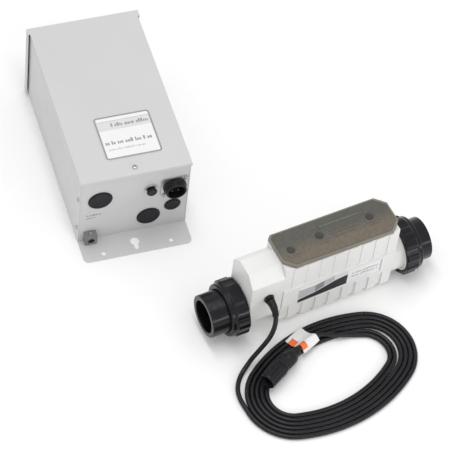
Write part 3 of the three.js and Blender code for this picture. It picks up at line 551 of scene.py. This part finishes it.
BOX_PLACE = Matrix.Translation((BOX_CORNER[0] * MM, BOX_CORNER[1] * MM, 0)) @ Matrix.Rotation(
    math.radians(BOX_TURN), 4, "Z"
)


def on_box(x, y, z, direction, upright=(0, 0, 1)):
    """A place on the power centre, from millimetres across, along and up from its corner."""
    turn = BOX_PLACE.to_3x3()
    origin = BOX_PLACE @ (Vector((x, y, z)) * MM)
    return placed(origin, turn @ Vector(direction), turn @ Vector(upright))


# ------------------------------------------------------------------ camera, light and floor


def make_camera():
    azimuth, elevation, roll = (math.radians(CAMERA[k]) for k in ("azimuth", "elevation", "roll"))
    level = math.cos(elevation)
    back = Vector((math.sin(azimuth) * level, -math.cos(azimuth) * level, math.sin(elevation)))
    right = (-back).cross(Vector((0, 0, 1))).normalized()
    up = back.cross(right)
    tilted_right = right * math.cos(roll) + up * math.sin(roll)
    tilted_up = up * math.cos(roll) - right * math.sin(roll)
    data = bpy.data.cameras.new("camera")
    data.lens = CAMERA["lens"]
    camera = bpy.data.objects.new("camera", data)
    turn = Matrix((tilted_right, tilted_up, back)).transposed().to_4x4()
    camera.matrix_world = Matrix.Translation(CAMERA["place"]) @ turn
    bpy.context.scene.collection.objects.link(camera)
    bpy.context.scene.camera = camera


def make_light(name, place, target, size, power):
    """A rectangular soft light that looks at a target, its long side level."""
    data = bpy.data.lights.new(name, "AREA")
    data.shape = "RECTANGLE"
    data.size, data.size_y = size
    data.energy = power
    light = bpy.data.objects.new(name, data)
    light.matrix_world = placed(place, Vector(place) - Vector(target))
    bpy.context.scene.collection.objects.link(light)


def make_studio():
    floor_mesh = bpy.data.meshes.new("floor")
    edge = rectangle(-FLOOR_REACH, -FLOOR_REACH, FLOOR_REACH, FLOOR_REACH)
    floor_mesh.from_pydata([(x, y, 0) for x, y in edge], [], [(0, 1, 2, 3)])
    floor = bpy.data.objects.new("floor", floor_mesh)
    floor_mesh.materials.append(mottled("floor_paper", (0.96, 0.96, 0.96), 0.8, 0.005, 0.5))
    bpy.context.scene.collection.objects.link(floor)
    world = bpy.data.worlds.new("studio")
    world.use_nodes = True
    background = world.node_tree.nodes["Background"]
    background.inputs["Color"].default_value = (1, 1, 1, 1)
    background.inputs["Strength"].default_value = SKY
    bpy.context.scene.world = world
    bpy.context.scene.view_settings.view_transform = "Standard"
    for name, light in LIGHTS.items():
        make_light(name, **light)


make_camera()
make_studio()

# ------------------------------------------------------------------ the lead


def oval_point(angle, inset, height):
    """A point on the coil's four-arc oval, at the angle of its outward normal."""
    half_length, half_width, end = COIL["half_length"], COIL["half_width"], COIL["end_radius"]
    rise = half_length**2 + half_width**2 - 2 * half_length * end
    side = rise / (2 * (half_width - end))
    along, across = math.cos(angle), math.sin(angle)
    if abs(across) * (half_length - end) < abs(along) * (side - half_width):
        centre = (math.copysign(half_length - end, along), 0)
        radius = end - inset
    else:
        centre = (0, math.copysign(side - half_width, -across))
        radius = side - inset
    u = centre[0] + radius * along
    v = centre[1] + radius * across
    turn = COIL["turn"]
    x = COIL["centre"][0] + u * math.cos(turn) - v * math.sin(turn)
    y = COIL["centre"][1] + u * math.sin(turn) + v * math.cos(turn)
    return Vector((x, y, height))


def coil_points():
    """The turns lie side by side, from the outside in; the last ones bow inwards at one end."""
    points = []
    for step in range(round(COIL["turns"] * COIL["steps"]) + 1):
        turns = step / COIL["steps"]
        angle = math.radians(COIL["start"] + 360 * turns)
        away = math.remainder(angle - COIL["bow_at"], 2 * math.pi)
        bow = COIL["bow"] * math.exp(-(away**2)) if turns > COIL["bow_after"] else 0
        points.append(oval_point(angle, COIL["pitch"] * turns + bow, COIL["height"]))
    return points


def through(points, spacing):
    """Points on a centripetal curve through the given ones."""
    knots = [2 * points[0] - points[1], *points, 2 * points[-1] - points[-2]]
    made = []
    for p0, p1, p2, p3 in zip(knots, knots[1:], knots[2:], knots[3:]):
        t1 = math.sqrt((p1 - p0).length)
        t2 = t1 + math.sqrt((p2 - p1).length)
        t3 = t2 + math.sqrt((p3 - p2).length)
        count = max(1, round((p2 - p1).length / spacing))
        for step in range(count):
            t = t1 + (t2 - t1) * step / count
            a1 = p0 * ((t1 - t) / t1) + p1 * (t / t1)
            a2 = p1 * ((t2 - t) / (t2 - t1)) + p2 * ((t - t1) / (t2 - t1))
            a3 = p2 * ((t3 - t) / (t3 - t2)) + p3 * ((t - t2) / (t3 - t2))
            b1 = a1 * ((t2 - t) / t2) + a2 * (t / t2)
            b2 = a2 * ((t3 - t) / (t3 - t1)) + a3 * ((t - t1) / (t3 - t1))
            made.append(b1 * ((t2 - t) / (t2 - t1)) + b2 * ((t - t1) / (t2 - t1)))
    made.append(points[-1])
    return made


lead_points = [Vector(point) for point in LEAD_ROUTE]
end_points = [Vector(point) for point in CLIMB_ROUTE + TAIL_ROUTE]
cord_line = through(lead_points + coil_points() + end_points, 4 * MM)
tail_line = through(end_points, 4 * MM)


def make_lead():
    data = bpy.data.curves.new("lead", "CURVE")
    data.dimensions = "3D"
    data.bevel_depth = CORD_RADIUS
    data.bevel_resolution = 5
    data.use_fill_caps = True
    spline = data.splines.new("POLY")
    spline.points.add(len(cord_line) - 1)
    for point, place in zip(spline.points, cord_line):
        point.co = (*place, 1)
    spline.use_smooth = True
    data.materials.append(JACKET)
    lead = bpy.data.objects.new("lead", data)
    bpy.context.scene.collection.objects.link(lead)
    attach(lead, "base")
    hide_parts("cord_lead", "cord_coil", "cord_tail")
    return lead


lead = make_lead()

# The plug's place: Z runs from its back, where the lead enters, to its mouth.
plug_place = placed(PLUG_REAR, PLUG_FRONT - PLUG_REAR)
plug_length = (PLUG_FRONT - PLUG_REAR).length / MM


def add_contacts(bm, place, circle, foot, radius, length, rounding, sides):
    """Four round contacts on a circle about the place's Z axis. Millimetres."""
    for contact in range(4):
        angle = (contact + 0.5) * math.pi / 2
        away = Vector((circle * math.cos(angle), circle * math.sin(angle), foot)) * MM
        pin = filleted([(0, 0), (radius, 0), (radius, length), (0, length)], rounding)
        turned(bm, pin, place @ Matrix.Translation(away), sides, material=1)


def make_plug():
    """A moulded grip with a ringed boot behind, a ribbed waist and a mouth with its contacts."""
    boot = [(5.4, 0), (7, 1.2), (6.4, 4), (8.3, 5.2), (7.7, 8), (9.7, 9.2), (9.2, 12)]
    waist = [(11.6, 15), (13.3, 20), (14, 25), (14, 30), (13.2, 32), (13.2, 45), (14, 47)]
    front = [(14, 50), (10.8, 50.3), (10.8, plug_length - 2), (9, plug_length - 2), (9, 61)]
    profile = filleted([(0, 0.6), *boot, *waist, *front, (0, 61)], 0.6)

    def ribbed(angle, radius, along):
        rib = 0.4 * MM * math.cos(24 * angle) if 32.5 < along / MM < 44.5 else 0
        return radius + rib, along

    bm = bmesh.new()
    turned(bm, profile, plug_place, 120, shape=ribbed)
    add_contacts(bm, plug_place, 4.5, 60, 1.1, 20, 0.5, 16)
    mesh = mesh_from(bm, "plug_grip")
    return finished("plug_grip", mesh, "base", [BLACK, BRASS], ["cord_plug"])


def make_plug_ring():
    """The coupling ring, with scalloped grips round it."""
    end = plug_length
    ring = [(11.4, 51), (14.4, 51), (15, 52.5), (15, end - 3), (14.2, end), (11.4, end)]

    def scalloped(angle, radius, along):
        outside = radius > 13 * MM and 53 < along / MM < end - 4
        dip = (0.5 + 0.5 * math.cos(12 * angle)) ** 3
        return radius - (1.3 * MM * dip if outside else 0), along

    bm = bmesh.new()
    grips = ring[:3] + [(15, 54), (15, end - 5)] + ring[3:]
    turned(bm, filleted(grips, 0.6, closed=True), plug_place, 144, True, scalloped)
    mesh = mesh_from(bm, "plug_ring_grip")
    replaced = ["plug_coupling_ring"]
    return finished("plug_ring_grip", mesh, "plug_ring", [BLACK], replaced)


def make_strain_relief():
    """A six-sided gland nut, and a ringed boot that tapers along the lead's first stretch."""
    bm = bmesh.new()
    nut = [(4.9, 0.3), (10, 0.3), (10, 3), (8.8, 4.6), (8.8, 6.5), (4.9, 6.5)]

    def six_sided(angle, radius, along):
        flat = math.cos(math.pi / 6) / math.cos(math.remainder(angle, math.pi / 3))
        return radius * (max(flat, 0.92) if radius > 9 * MM else 1), along

    nut_place = placed(GLAND, (0, -1, 0))
    turned(bm, filleted(nut, 0.5, closed=True), nut_place, 96, True, six_sided)
    sides = 32
    travelled = 0
    rings = []
    for before, here in zip(cord_line, cord_line[1:]):
        travelled += (here - before).length / MM
        share = (travelled - RELIEF["start"]) / RELIEF["length"]
        if not 0 <= share <= 1:
            continue
        groove = 0.25 + 0.25 * math.cos(share * 2 * RELIEF["grooves"] * math.pi)
        radius = (RELIEF["wide"] * (1 - share) + RELIEF["narrow"] * share - groove) * MM
        place = placed(here, here - before)
        edge = [place @ Vector((u, v, 0)) for u, v in disc(0, 0, radius, sides)]
        rings.append([bm.verts.new(point) for point in edge])
    for low, high in zip(rings, rings[1:]):
        for side in range(sides):
            after = (side + 1) % sides
            bm.faces.new([low[side], low[after], high[after], high[side]])
    bm.faces.new(rings[0][::-1])
    bm.faces.new(rings[-1])
    mesh = mesh_from(bm, "strain_relief")
    return finished("strain_relief", mesh, "base", [BLACK], ["cable_gland"])


def make_tag():
    """A film flag draped over the lead behind the plug, with two coloured patches."""
    turn = math.radians(TAG["turn"])
    centre = Vector((*TAG["centre"], 0))
    along = Vector((math.cos(turn), math.sin(turn), 0)) * TAG["length"] / 2 * MM
    across = Vector((-math.sin(turn), math.cos(turn), 0)) * TAG["width"] / 2 * MM
    cells = 24

    def flag_point(u, v):
        flat = centre + along * u + across * v
        near = min(tail_line, key=lambda point: (point.xy - flat.xy).length)
        away = (near.xy - flat.xy).length
        ridge = near.z + CORD_RADIUS + 0.8 * MM - TAG["rest"] * MM
        sway = 0.6 * MM * (1 + math.sin(3 * u + 2 * v))
        height = TAG["rest"] * MM + ridge * math.exp(-((away / (9.5 * MM)) ** 2)) + sway
        return Vector((flat.x, flat.y, height))

    steps = [2 * i / cells - 1 for i in range(cells + 1)]
    bm = bmesh.new()
    grid = [[bm.verts.new(flag_point(u, v)) for u in steps] for v in steps]
    for j in range(cells):
        for i in range(cells):
            corners = [grid[j][i], grid[j][i + 1], grid[j + 1][i + 1], grid[j + 1][i]]
            patch = i < cells / 3 and (1 < j < 10 or 12 < j < 21)
            bm.faces.new(corners).material_index = 1 if patch else 0
    mesh = mesh_from(bm, "tag_flag")
    looks = [TAG_WHITE, TAG_ORANGE]
    flag = finished("tag_flag", mesh, "base", looks, ["cord_tag"])
    film = flag.modifiers.new("film", "SOLIDIFY")
    film.thickness = 0.4 * MM
    film.offset = 0
    return flag


make_plug()
make_plug_ring()
make_tag()
make_strain_relief()

# ------------------------------------------------------------------ flow cell

refined("cell_housing", "base", [WHITE], 0.7)
refined("inlet_end_cap", "base", [WHITE], 1.6)
refined("outlet_collar", "base", [WHITE], 0.8)
refined("control_panel", "base", [PANEL_EDGE], 0.4)
refined("panel_overlay", "base", [PANEL], 0.1)
refined("cell_side_label", "base", [LABEL], 0.08)
refined("electrode_comb_upper", "base", [WHITE], 0.3)
refined("electrode_comb_lower", "base", [WHITE], 0.3)
refined("flow_switch_body", "base", [BLACK], 0.3)
refined("flow_switch_paddle", "paddle", [BLACK], 0.3)
for number in range(1, 5):
    refined(f"electrode_plate_{number}", "base", [TITANIUM], 0.2)


def board_part(place):
    """The cell's board and its stand-offs are green, and what stands on it is dark."""
    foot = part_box("cell_circuit_board")[0].z
    return 0 if place.z < foot + CELL_BOARD_TOP * MM else 1


refined("cell_circuit_board", "base", [BOARD, BLACK], 0.2, board_part)


def make_nut(side, place):
    """A union nut, with soft grips round it and a lip that holds the tailpiece."""
    radius, bore, length = NUT["radius"], NUT["bore"], NUT["length"]
    hole, inside = NUT["lip_bore"], NUT["lip"]
    grip = [(radius - 1, 1), (radius, 3), (radius, 5), (radius, 24), (radius, 26), (49, 29.5)]
    lip = [(49, 34), (47.5, length), (hole, length), (hole, inside), (bore, inside), (bore, 1)]

    def lobed(angle, radius, along):
        outside = radius > 46 * MM and along < 28 * MM
        lobe = 1 / (1 + math.exp(-6 * math.sin(NUT["lugs"] * angle)))
        fade = max(0, min(1, (28 - along / MM) / 3, (along / MM - 0.5) / 3))
        return radius + (NUT["lug"] * lobe * fade * MM if outside else 0), along

    bm = bmesh.new()
    turned(bm, filleted(grip + lip, 0.9, closed=True), place, 240, True, lobed)
    mesh = mesh_from(bm, f"{side}_nut_grip")
    replaced = [f"{side}_union_nut"]
    finished(mesh.name, mesh, f"{side}_nut", [PVC], replaced)


def make_tailpiece(side, place):
    """The flanged sleeve that the pipe is glued into."""
    radius, flange, end = TAIL["radius"], TAIL["flange"], TAIL_ENDS[side]
    stop = (TAIL["stop"], end - TAIL["depth"])
    outside = [(TAIL["stop"], 21), (flange, 21), (flange, 25.5), (radius, 25.5), (radius, end)]
    inside = [(TAIL["socket"], end), (TAIL["socket"], end - TAIL["depth"]), stop]
    bm = bmesh.new()
    turned(bm, filleted(outside + inside, 1.2, closed=True), place, 128, True)
    mesh = mesh_from(bm, f"{side}_tailpiece_turned")
    finished(mesh.name, mesh, "base", [PVC], [f"{side}_tailpiece"])


def make_seal(side, outward):
    low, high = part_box(f"{side}_o_ring")
    ring = [(O_RING["radius"] + u, v) for u, v in disc(0, 0, O_RING["section"], 20)]
    ring = [(r, along * O_RING["squeezed"] / O_RING["section"]) for r, along in ring]
    bm = bmesh.new()
    place = placed(((low + high) / 2).xyz, (outward, 0, 0))
    turned(bm, in_metres(ring), place, 128, True)
    mesh = mesh_from(bm, f"{side}_seal")
    finished(mesh.name, mesh, "base", [RUBBER], [f"{side}_o_ring"])


for side, outward in (("inlet", -1), ("outlet", 1)):
    union_place = placed((FACES[side] * MM, 0, AXIS), (outward, 0, 0))
    make_nut(side, union_place)
    make_tailpiece(side, union_place)
    make_seal(side, outward)


def standing(node):
    """An upright place at the middle of the foot of a CAD node's box."""
    low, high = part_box(node)
    return placed(((low.x + high.x) / 2, (low.y + high.y) / 2, low.z), (0, 0, 1))


def make_button(node, body):
    """A round membrane key: a raised rim round a shallow dish."""
    low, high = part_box(node)
    rise = (high.z - low.z) / MM
    radius = (high.x - low.x) / 2 / MM
    rim = [(0, 0), (radius, 0), (radius, rise - 0.1), (radius - 0.5, rise)]
    dish = [(radius - 1.6, rise), (radius - 2.2, rise - 0.15), (0, rise - 0.1)]
    bm = bmesh.new()
    turned(bm, filleted(rim + dish, 0.2), standing(node), 64)
    mesh = mesh_from(bm, node + "_key")
    finished(mesh.name, mesh, body, [BUTTON], [node])


for key in ("info", "less", "more"):
    make_button(f"{key}_button", f"{key}_key")


def make_lamp_window():
    """A clear strip with a row of small lamps under it, the last one red."""
    low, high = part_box("lamp_window")
    place = Matrix.Translation(((low.x + high.x) / 2, (low.y + high.y) / 2, high.z))
    half = (high - low) / 2
    bm = bmesh.new()
    strip = rounded_rectangle(-half.x, -half.y, half.x, half.y, 2 * MM)
    prism(bm, strip, place, low.z - high.z, 0)
    long, wide, corner = (LAMP[k] * MM for k in ("half_length", "half_width", "corner"))
    for lamp in range(LAMP["count"]):
        u = half.x * (2 * (lamp + 0.5) / LAMP["count"] - 1)
        spot = rounded_rectangle(u - long, -wide, u + long, wide, corner)
        mark(bm, spot, place, 2 if lamp == LAMP["count"] - 1 else 1)
    mesh = mesh_from(bm, "lamp_strip")
    lamps = [LENS, LAMP_GREEN, LAMP_RED]
    finished(mesh.name, mesh, "base", lamps, ["lamp_window"])


make_lamp_window()


def make_panel_print():
    """Plain marks on the film: a ring round each key, bars beside it and a scale by the lamps."""
    place = Matrix.Translation((0, 0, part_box("panel_overlay")[1].z))
    outer, inner = KEY_RING["outer"] * MM, KEY_RING["inner"] * MM
    bm = bmesh.new()
    for seed, key in enumerate(("info", "less", "more")):
        x, y = standing(f"{key}_button").translation.xy
        band(bm, disc(x, y, outer), disc(x, y, inner), place, -INK, INK)
        for row, half in enumerate((15 * MM, 10 * MM)):
            base = y - (13.5 + 5 * row) * MM
            print_line(bm, place, x - half, x + half, base, 3 * MM, 30 + 2 * seed + row)
    low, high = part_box("lamp_window")
    ticks, start, half = 16, low.y - 2 * MM, 0.4 * MM
    for step in range(ticks + 1):
        u = low.x + (high.x - low.x) * step / ticks
        tall = (3.5 if step % 4 == 0 else 2) * MM
        mark(bm, rectangle(u - half, start - tall, u + half, start), place)
    for row in range(3):
        base = (4 - 7 * row) * MM
        print_line(bm, place, -12 * MM, (52 - 6 * row) * MM, base, 3.4 * MM, 40 + row)
    mesh = mesh_from(bm, "panel_print")
    finished(mesh.name, mesh, "base", [PANEL_INK])


make_panel_print()


def make_side_print():
    """Plain fields on the side label: a dark wedge, grey fields above it and a pale row."""
    low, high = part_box("cell_side_label")
    long, tall = high.x - low.x, high.z - low.z
    place = Matrix(((1, 0, 0, low.x), (0, 0, -1, low.y), (0, 1, 0, low.z), (0, 0, 0, 1)))
    bm = bmesh.new()

    def field(points, material):
        mark(bm, [(u * long, v * tall) for u, v in points], place, material)

    field([(0, 0), (0.57, 0.12), (0.57, 0.74), (0.42, 0.64), (0.3, 0.47), (0.2, 0.34), (0, 0.2)], 0)
    field([(0, 0.23), (0.19, 0.37), (0.19, 0.8), (0, 0.8)], 2)
    field([(0.19, 0.37), (0.29, 0.5), (0.29, 0.9), (0.19, 0.8)], 1)
    field([(0.29, 0.5), (0.41, 0.67), (0.41, 0.97), (0.29, 0.9)], 2)
    field([(0.41, 0.67), (0.57, 0.78), (0.57, 0.97), (0.41, 0.97)], 3)
    field(rectangle(0.6, 0.08, 0.975, 0.13), 3)
    field(rectangle(0.955, 0.16, 0.975, 0.92), 2)
    for line in range(2):
        base, height = (0.42 + 0.2 * line) * tall, 0.15 * tall
        print_line(bm, place, 0.62 * long, 0.93 * long, base, height, 5 + line, 2)
    print_line(bm, place, 0.62 * long, 0.86 * long, 0.22 * tall, 0.09 * tall, 8, 3)
    mesh = mesh_from(bm, "side_label_print")
    inks = [INK_BLACK, INK_GREY, INK_PALE, INK_FAINT]
    finished(mesh.name, mesh, "base", inks)


make_side_print()

# ------------------------------------------------------------------ power centre

refined("enclosure", "base", [PAINT], 0.5)
refined("bottom_panel", "base", [PAINT], 0.5)
refined("front_cover", "cover", [PAINT], 0.6)
refined("cover_label", "cover", [LABEL], 0.08)
refined("breaker_body", "base", [BLACK], 0.4)
refined("receptacle_flange", "base", [ZINC], 0.4)
refined("bonding_lug", "base", [LUG], 0.8)
refined("transformer_core", "base", [CORE], 0.3)
refined("transformer_winding", "base", [COPPER], 1.0)
refined("transformer_frame", "base", [ZINC], 0.4)
refined("heat_sink", "base", [ALUMINIUM], 0.3)
refined("rectifier_bridge", "base", [BLACK], 0.6)
refined("terminal_block", "base", [BLACK], 0.4)


def power_part(place):
    """Dark posts, a green board, dark blue capacitors and blue relays, by where they stand."""
    there = (BOX_PLACE.inverted() @ place) / MM
    if there.z < POWER_BOARD["underside"]:
        return 3
    if there.z < POWER_BOARD["top"]:
        return 0
    return 1 if there.y > POWER_BOARD["cans_beyond"] else 2


power_looks = [BOARD, CAN, RELAY, BLACK]
refined("power_board", "base", power_looks, 0.5, power_part)


def make_knockout(key, x, z, radius):
    """A blanking plug: a rim, a raised step, a shallow dish, and its hub."""
    hub = [(0, -9), (radius - 3.2, -9), (radius - 3, 0), (radius, 0)]
    rim = [(radius, 1), (radius - 1.2, 2.1), (radius - 2.4, 2.3), (radius - 3, 2.9)]
    dish = [(radius - 4, 3.2), (radius - 5.2, 2.6), (radius * 0.4, 2.3), (0, 2.2)]
    bm = bmesh.new()
    profile = filleted(hub + rim + dish, 0.4)
    turned(bm, profile, on_box(x, PANEL_FACE - GAP, z, (0, -1, 0)), 96)
    mesh = mesh_from(bm, f"knockout_{key}_dome")
    replaced = [f"knockout_plug_{key}"]
    finished(mesh.name, mesh, "base", [DOME], replaced)


for key, (x, z, radius) in KNOCKOUTS.items():
    make_knockout(key, x, z, radius)


def make_breaker():
    """The breaker's knurled round nut and its push button."""
    x, z = BREAKER
    place = on_box(x, PANEL_FACE - GAP, z, (0, -1, 0))

    def knurled(angle, radius, along):
        outside = radius > 10.5 * MM and 0.5 < along / MM < 2.6
        return radius - (0.35 * MM * (0.5 + 0.5 * math.cos(30 * angle)) if outside else 0), along

    bm = bmesh.new()
    nut = [(7.1, 0), (11.5, 0), (11.5, 1), (11.5, 2.2), (11.5, 3), (7.1, 3)]
    turned(bm, filleted(nut, 0.4, closed=True), place, 180, True, knurled)
    mesh = mesh_from(bm, "breaker_ring")
    finished(mesh.name, mesh, "base", [ZINC], ["breaker_nut"])

    stem = [(0, -5.8), (4.4, -5.8), (4.4, 6.6), (9.5, 6.6)]
    cap = [(9.5, 9.1), (8.2, 10.7), (5.5, 10.9), (4.5, 10.5), (0, 10.3)]
    bm = bmesh.new()
    turned(bm, filleted(stem + cap, 0.6), place, 64)
    mesh = mesh_from(bm, "breaker_cap")
    finished(mesh.name, mesh, "breaker_key", [BLACK], ["breaker_button"])


make_breaker()


def make_receptacle():
    """A round receptacle: collar, threaded barrel, open mouth and four contacts."""
    outer, bore, mouth = SOCKET["radius"], SOCKET["bore"], -SOCKET["mouth"]
    inside = [(0, -14), (outer - 3, -14), (outer - 3, -2.3), (outer, -2.3), (outer, 2.1)]
    collar = [(outer + 1.5, 2.1), (outer + 1.5, 5.8), (outer - 0.5, 6.6)]
    thread = []
    for step in range(4):
        start = 7.2 + 1.9 * step
        thread += [(outer - 0.6, start), (outer - 1.2, start + 0.6), (outer - 0.6, start + 1.3)]
    rim = [(outer - 1, mouth - 0.6), (outer - 1.8, mouth), (bore, mouth), (bore, 1), (0, 1)]
    bm = bmesh.new()
    place = on_box(SOCKET["x"], 0, SOCKET["z"], (0, -1, 0))
    turned(bm, filleted(inside + collar + thread + rim, 0.35), place, 128)
    add_contacts(bm, place, 8, 0.5, 1.6, 7.3, 0.7, 20)
    mesh = mesh_from(bm, "receptacle_barrel")
    replaced = ["cell_receptacle"]
    finished(mesh.name, mesh, "base", [BLACK, BRASS], replaced)


make_receptacle()


def make_screw(node, body, place, head, reach):
    """A pan-head screw with a cross recess, seated at the place's origin. Millimetres."""
    rings = [0.01, 0.1, 0.16, 0.22, 0.3, 0.4, 0.5, 0.56, 0.62, 0.8, 0.93, 1]
    dome = [(head * r, head * (0.7 - 0.25 * r**2 - 0.12 * r**8)) for r in rings]
    deep = 0.4 * head
    centre = (0, 0.7 * head - deep)
    profile = in_metres([centre, *dome, (head, 0.02), (2, 0.02), (2, -reach), (0, -reach)])

    def crossed(angle, radius, along):
        across = min(abs(math.cos(angle)), abs(math.sin(angle))) * radius
        recess = radius < 0.6 * head * MM and across < 0.13 * head * MM
        sunk = recess and along > 0.3 * head * MM
        return radius, along - deep * MM if sunk else along

    bm = bmesh.new()
    turned(bm, profile, place, 48, shape=crossed)
    mesh = mesh_from(bm, node + "_head")
    finished(mesh.name, mesh, body, [ZINC], [node], angle=30)


for key, (x, z) in SIDE_SCREWS.items():
    outward = 1 if x else -1
    seat = on_box(x + outward * GAP, SIDE_SCREW_Y, z, (outward, 0, 0))
    make_screw(f"side_screw_{key}", "base", seat, 4, 8)
for number, away in ((1, -SOCKET["screws"]), (2, SOCKET["screws"])):
    seat = on_box(SOCKET["x"] + away, SOCKET["face"] - GAP, SOCKET["z"] + away, (0, -1, 0))
    make_screw(f"receptacle_screw_{number}", "base", seat, 3.6, 9)
cover_seat = on_box(*COVER_SCREW, COVER_TOP + GAP, (0, 0, 1), (0, 1, 0))
make_screw("cover_screw", "cover", cover_seat, 4.6, 5)


def make_lug_screw():
    """The lug's clamping screw: a short stud with a slot across its end."""
    low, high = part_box("bonding_lug_screw")
    length = (high.z - low.z) / MM
    radius, slot_depth = 2.8, 1.2
    top = [(0, length - slot_depth)] + [(r, length) for r in (0.01, 0.6, 1.2, 1.8, 2.4)]

    def slotted(angle, r, along):
        cut = abs(math.sin(angle)) * r < 0.5 * MM and r < 2.5 * MM and along > length / 2 * MM
        return r, along - (slot_depth * MM if cut else 0)

    bm = bmesh.new()
    profile = in_metres([*top, (radius, length - 0.3), (radius, 0), (0, 0)])
    turned(bm, profile, standing("bonding_lug_screw"), 48, shape=slotted)
    mesh = mesh_from(bm, "lug_clamp_screw")
    finished(mesh.name, mesh, "base", [ZINC], ["bonding_lug_screw"], angle=30)


make_lug_screw()


def make_cover_print():
    """Plain marks on the cover's label: a grey border, two pale fields and rows of bars."""
    width, height = COVER_LABEL["width"] * MM, COVER_LABEL["height"] * MM
    top = COVER_TOP + COVER_LABEL["rise"]
    middle = Vector((COVER_LABEL["x"], COVER_LABEL["y"], top)) * MM
    place = BOX_PLACE @ Matrix.Translation(middle - Vector((width, height, 0)) / 2)
    bm = bmesh.new()
    outer = rounded_rectangle(0.5 * MM, 0.5 * MM, width - 0.5 * MM, height - 0.5 * MM, 5 * MM)
    inner = rounded_rectangle(4 * MM, 4 * MM, width - 4 * MM, height - 4 * MM, 3 * MM)
    band(bm, outer, inner, place, -INK, INK, 0)

    def row(left, right, base, tall, seed, material=0):
        ends = (left * width, right * width, base * height)
        print_line(bm, place, *ends, tall * height, seed, material)

    for low, high, material in ((0.87, 0.885, 1), (0.67, 0.865, 2)):
        outline = rectangle(0.04 * width, low * height, 0.96 * width, high * height)
        prism(bm, outline, place, -INK, INK / 2, material)
    row(0.27, 0.93, 0.74, 0.085, 11)
    row(0.08, 0.89, 0.34, 0.085, 12)
    row(0.1, 0.74, 0.21, 0.04, 13, 1)
    mesh = mesh_from(bm, "cover_label_print")
    inks = [INK_PRINT, INK_PALE, INK_FAINT]
    finished(mesh.name, mesh, "cover", inks)


make_cover_print()


def make_panel_mark():
    """Two rows of bars on the bottom panel above the bonding lug."""
    turn = BOX_PLACE.to_3x3()
    across, outward = turn @ Vector((1, 0, 0)), turn @ Vector((0, -1, 0))
    axes = Matrix((across, Vector((0, 0, 1)), outward)).transposed().to_4x4()
    place = Matrix.Translation(BOX_PLACE @ (Vector(PANEL_MARK) * MM)) @ axes
    bm = bmesh.new()
    print_line(bm, place, 0, 28 * MM, 7 * MM, 5 * MM, 21)
    print_line(bm, place, 0, 18 * MM, 0, 4 * MM, 22)
    mesh = mesh_from(bm, "panel_mark")
    finished(mesh.name, mesh, "base", [INK_GREY])


make_panel_mark()
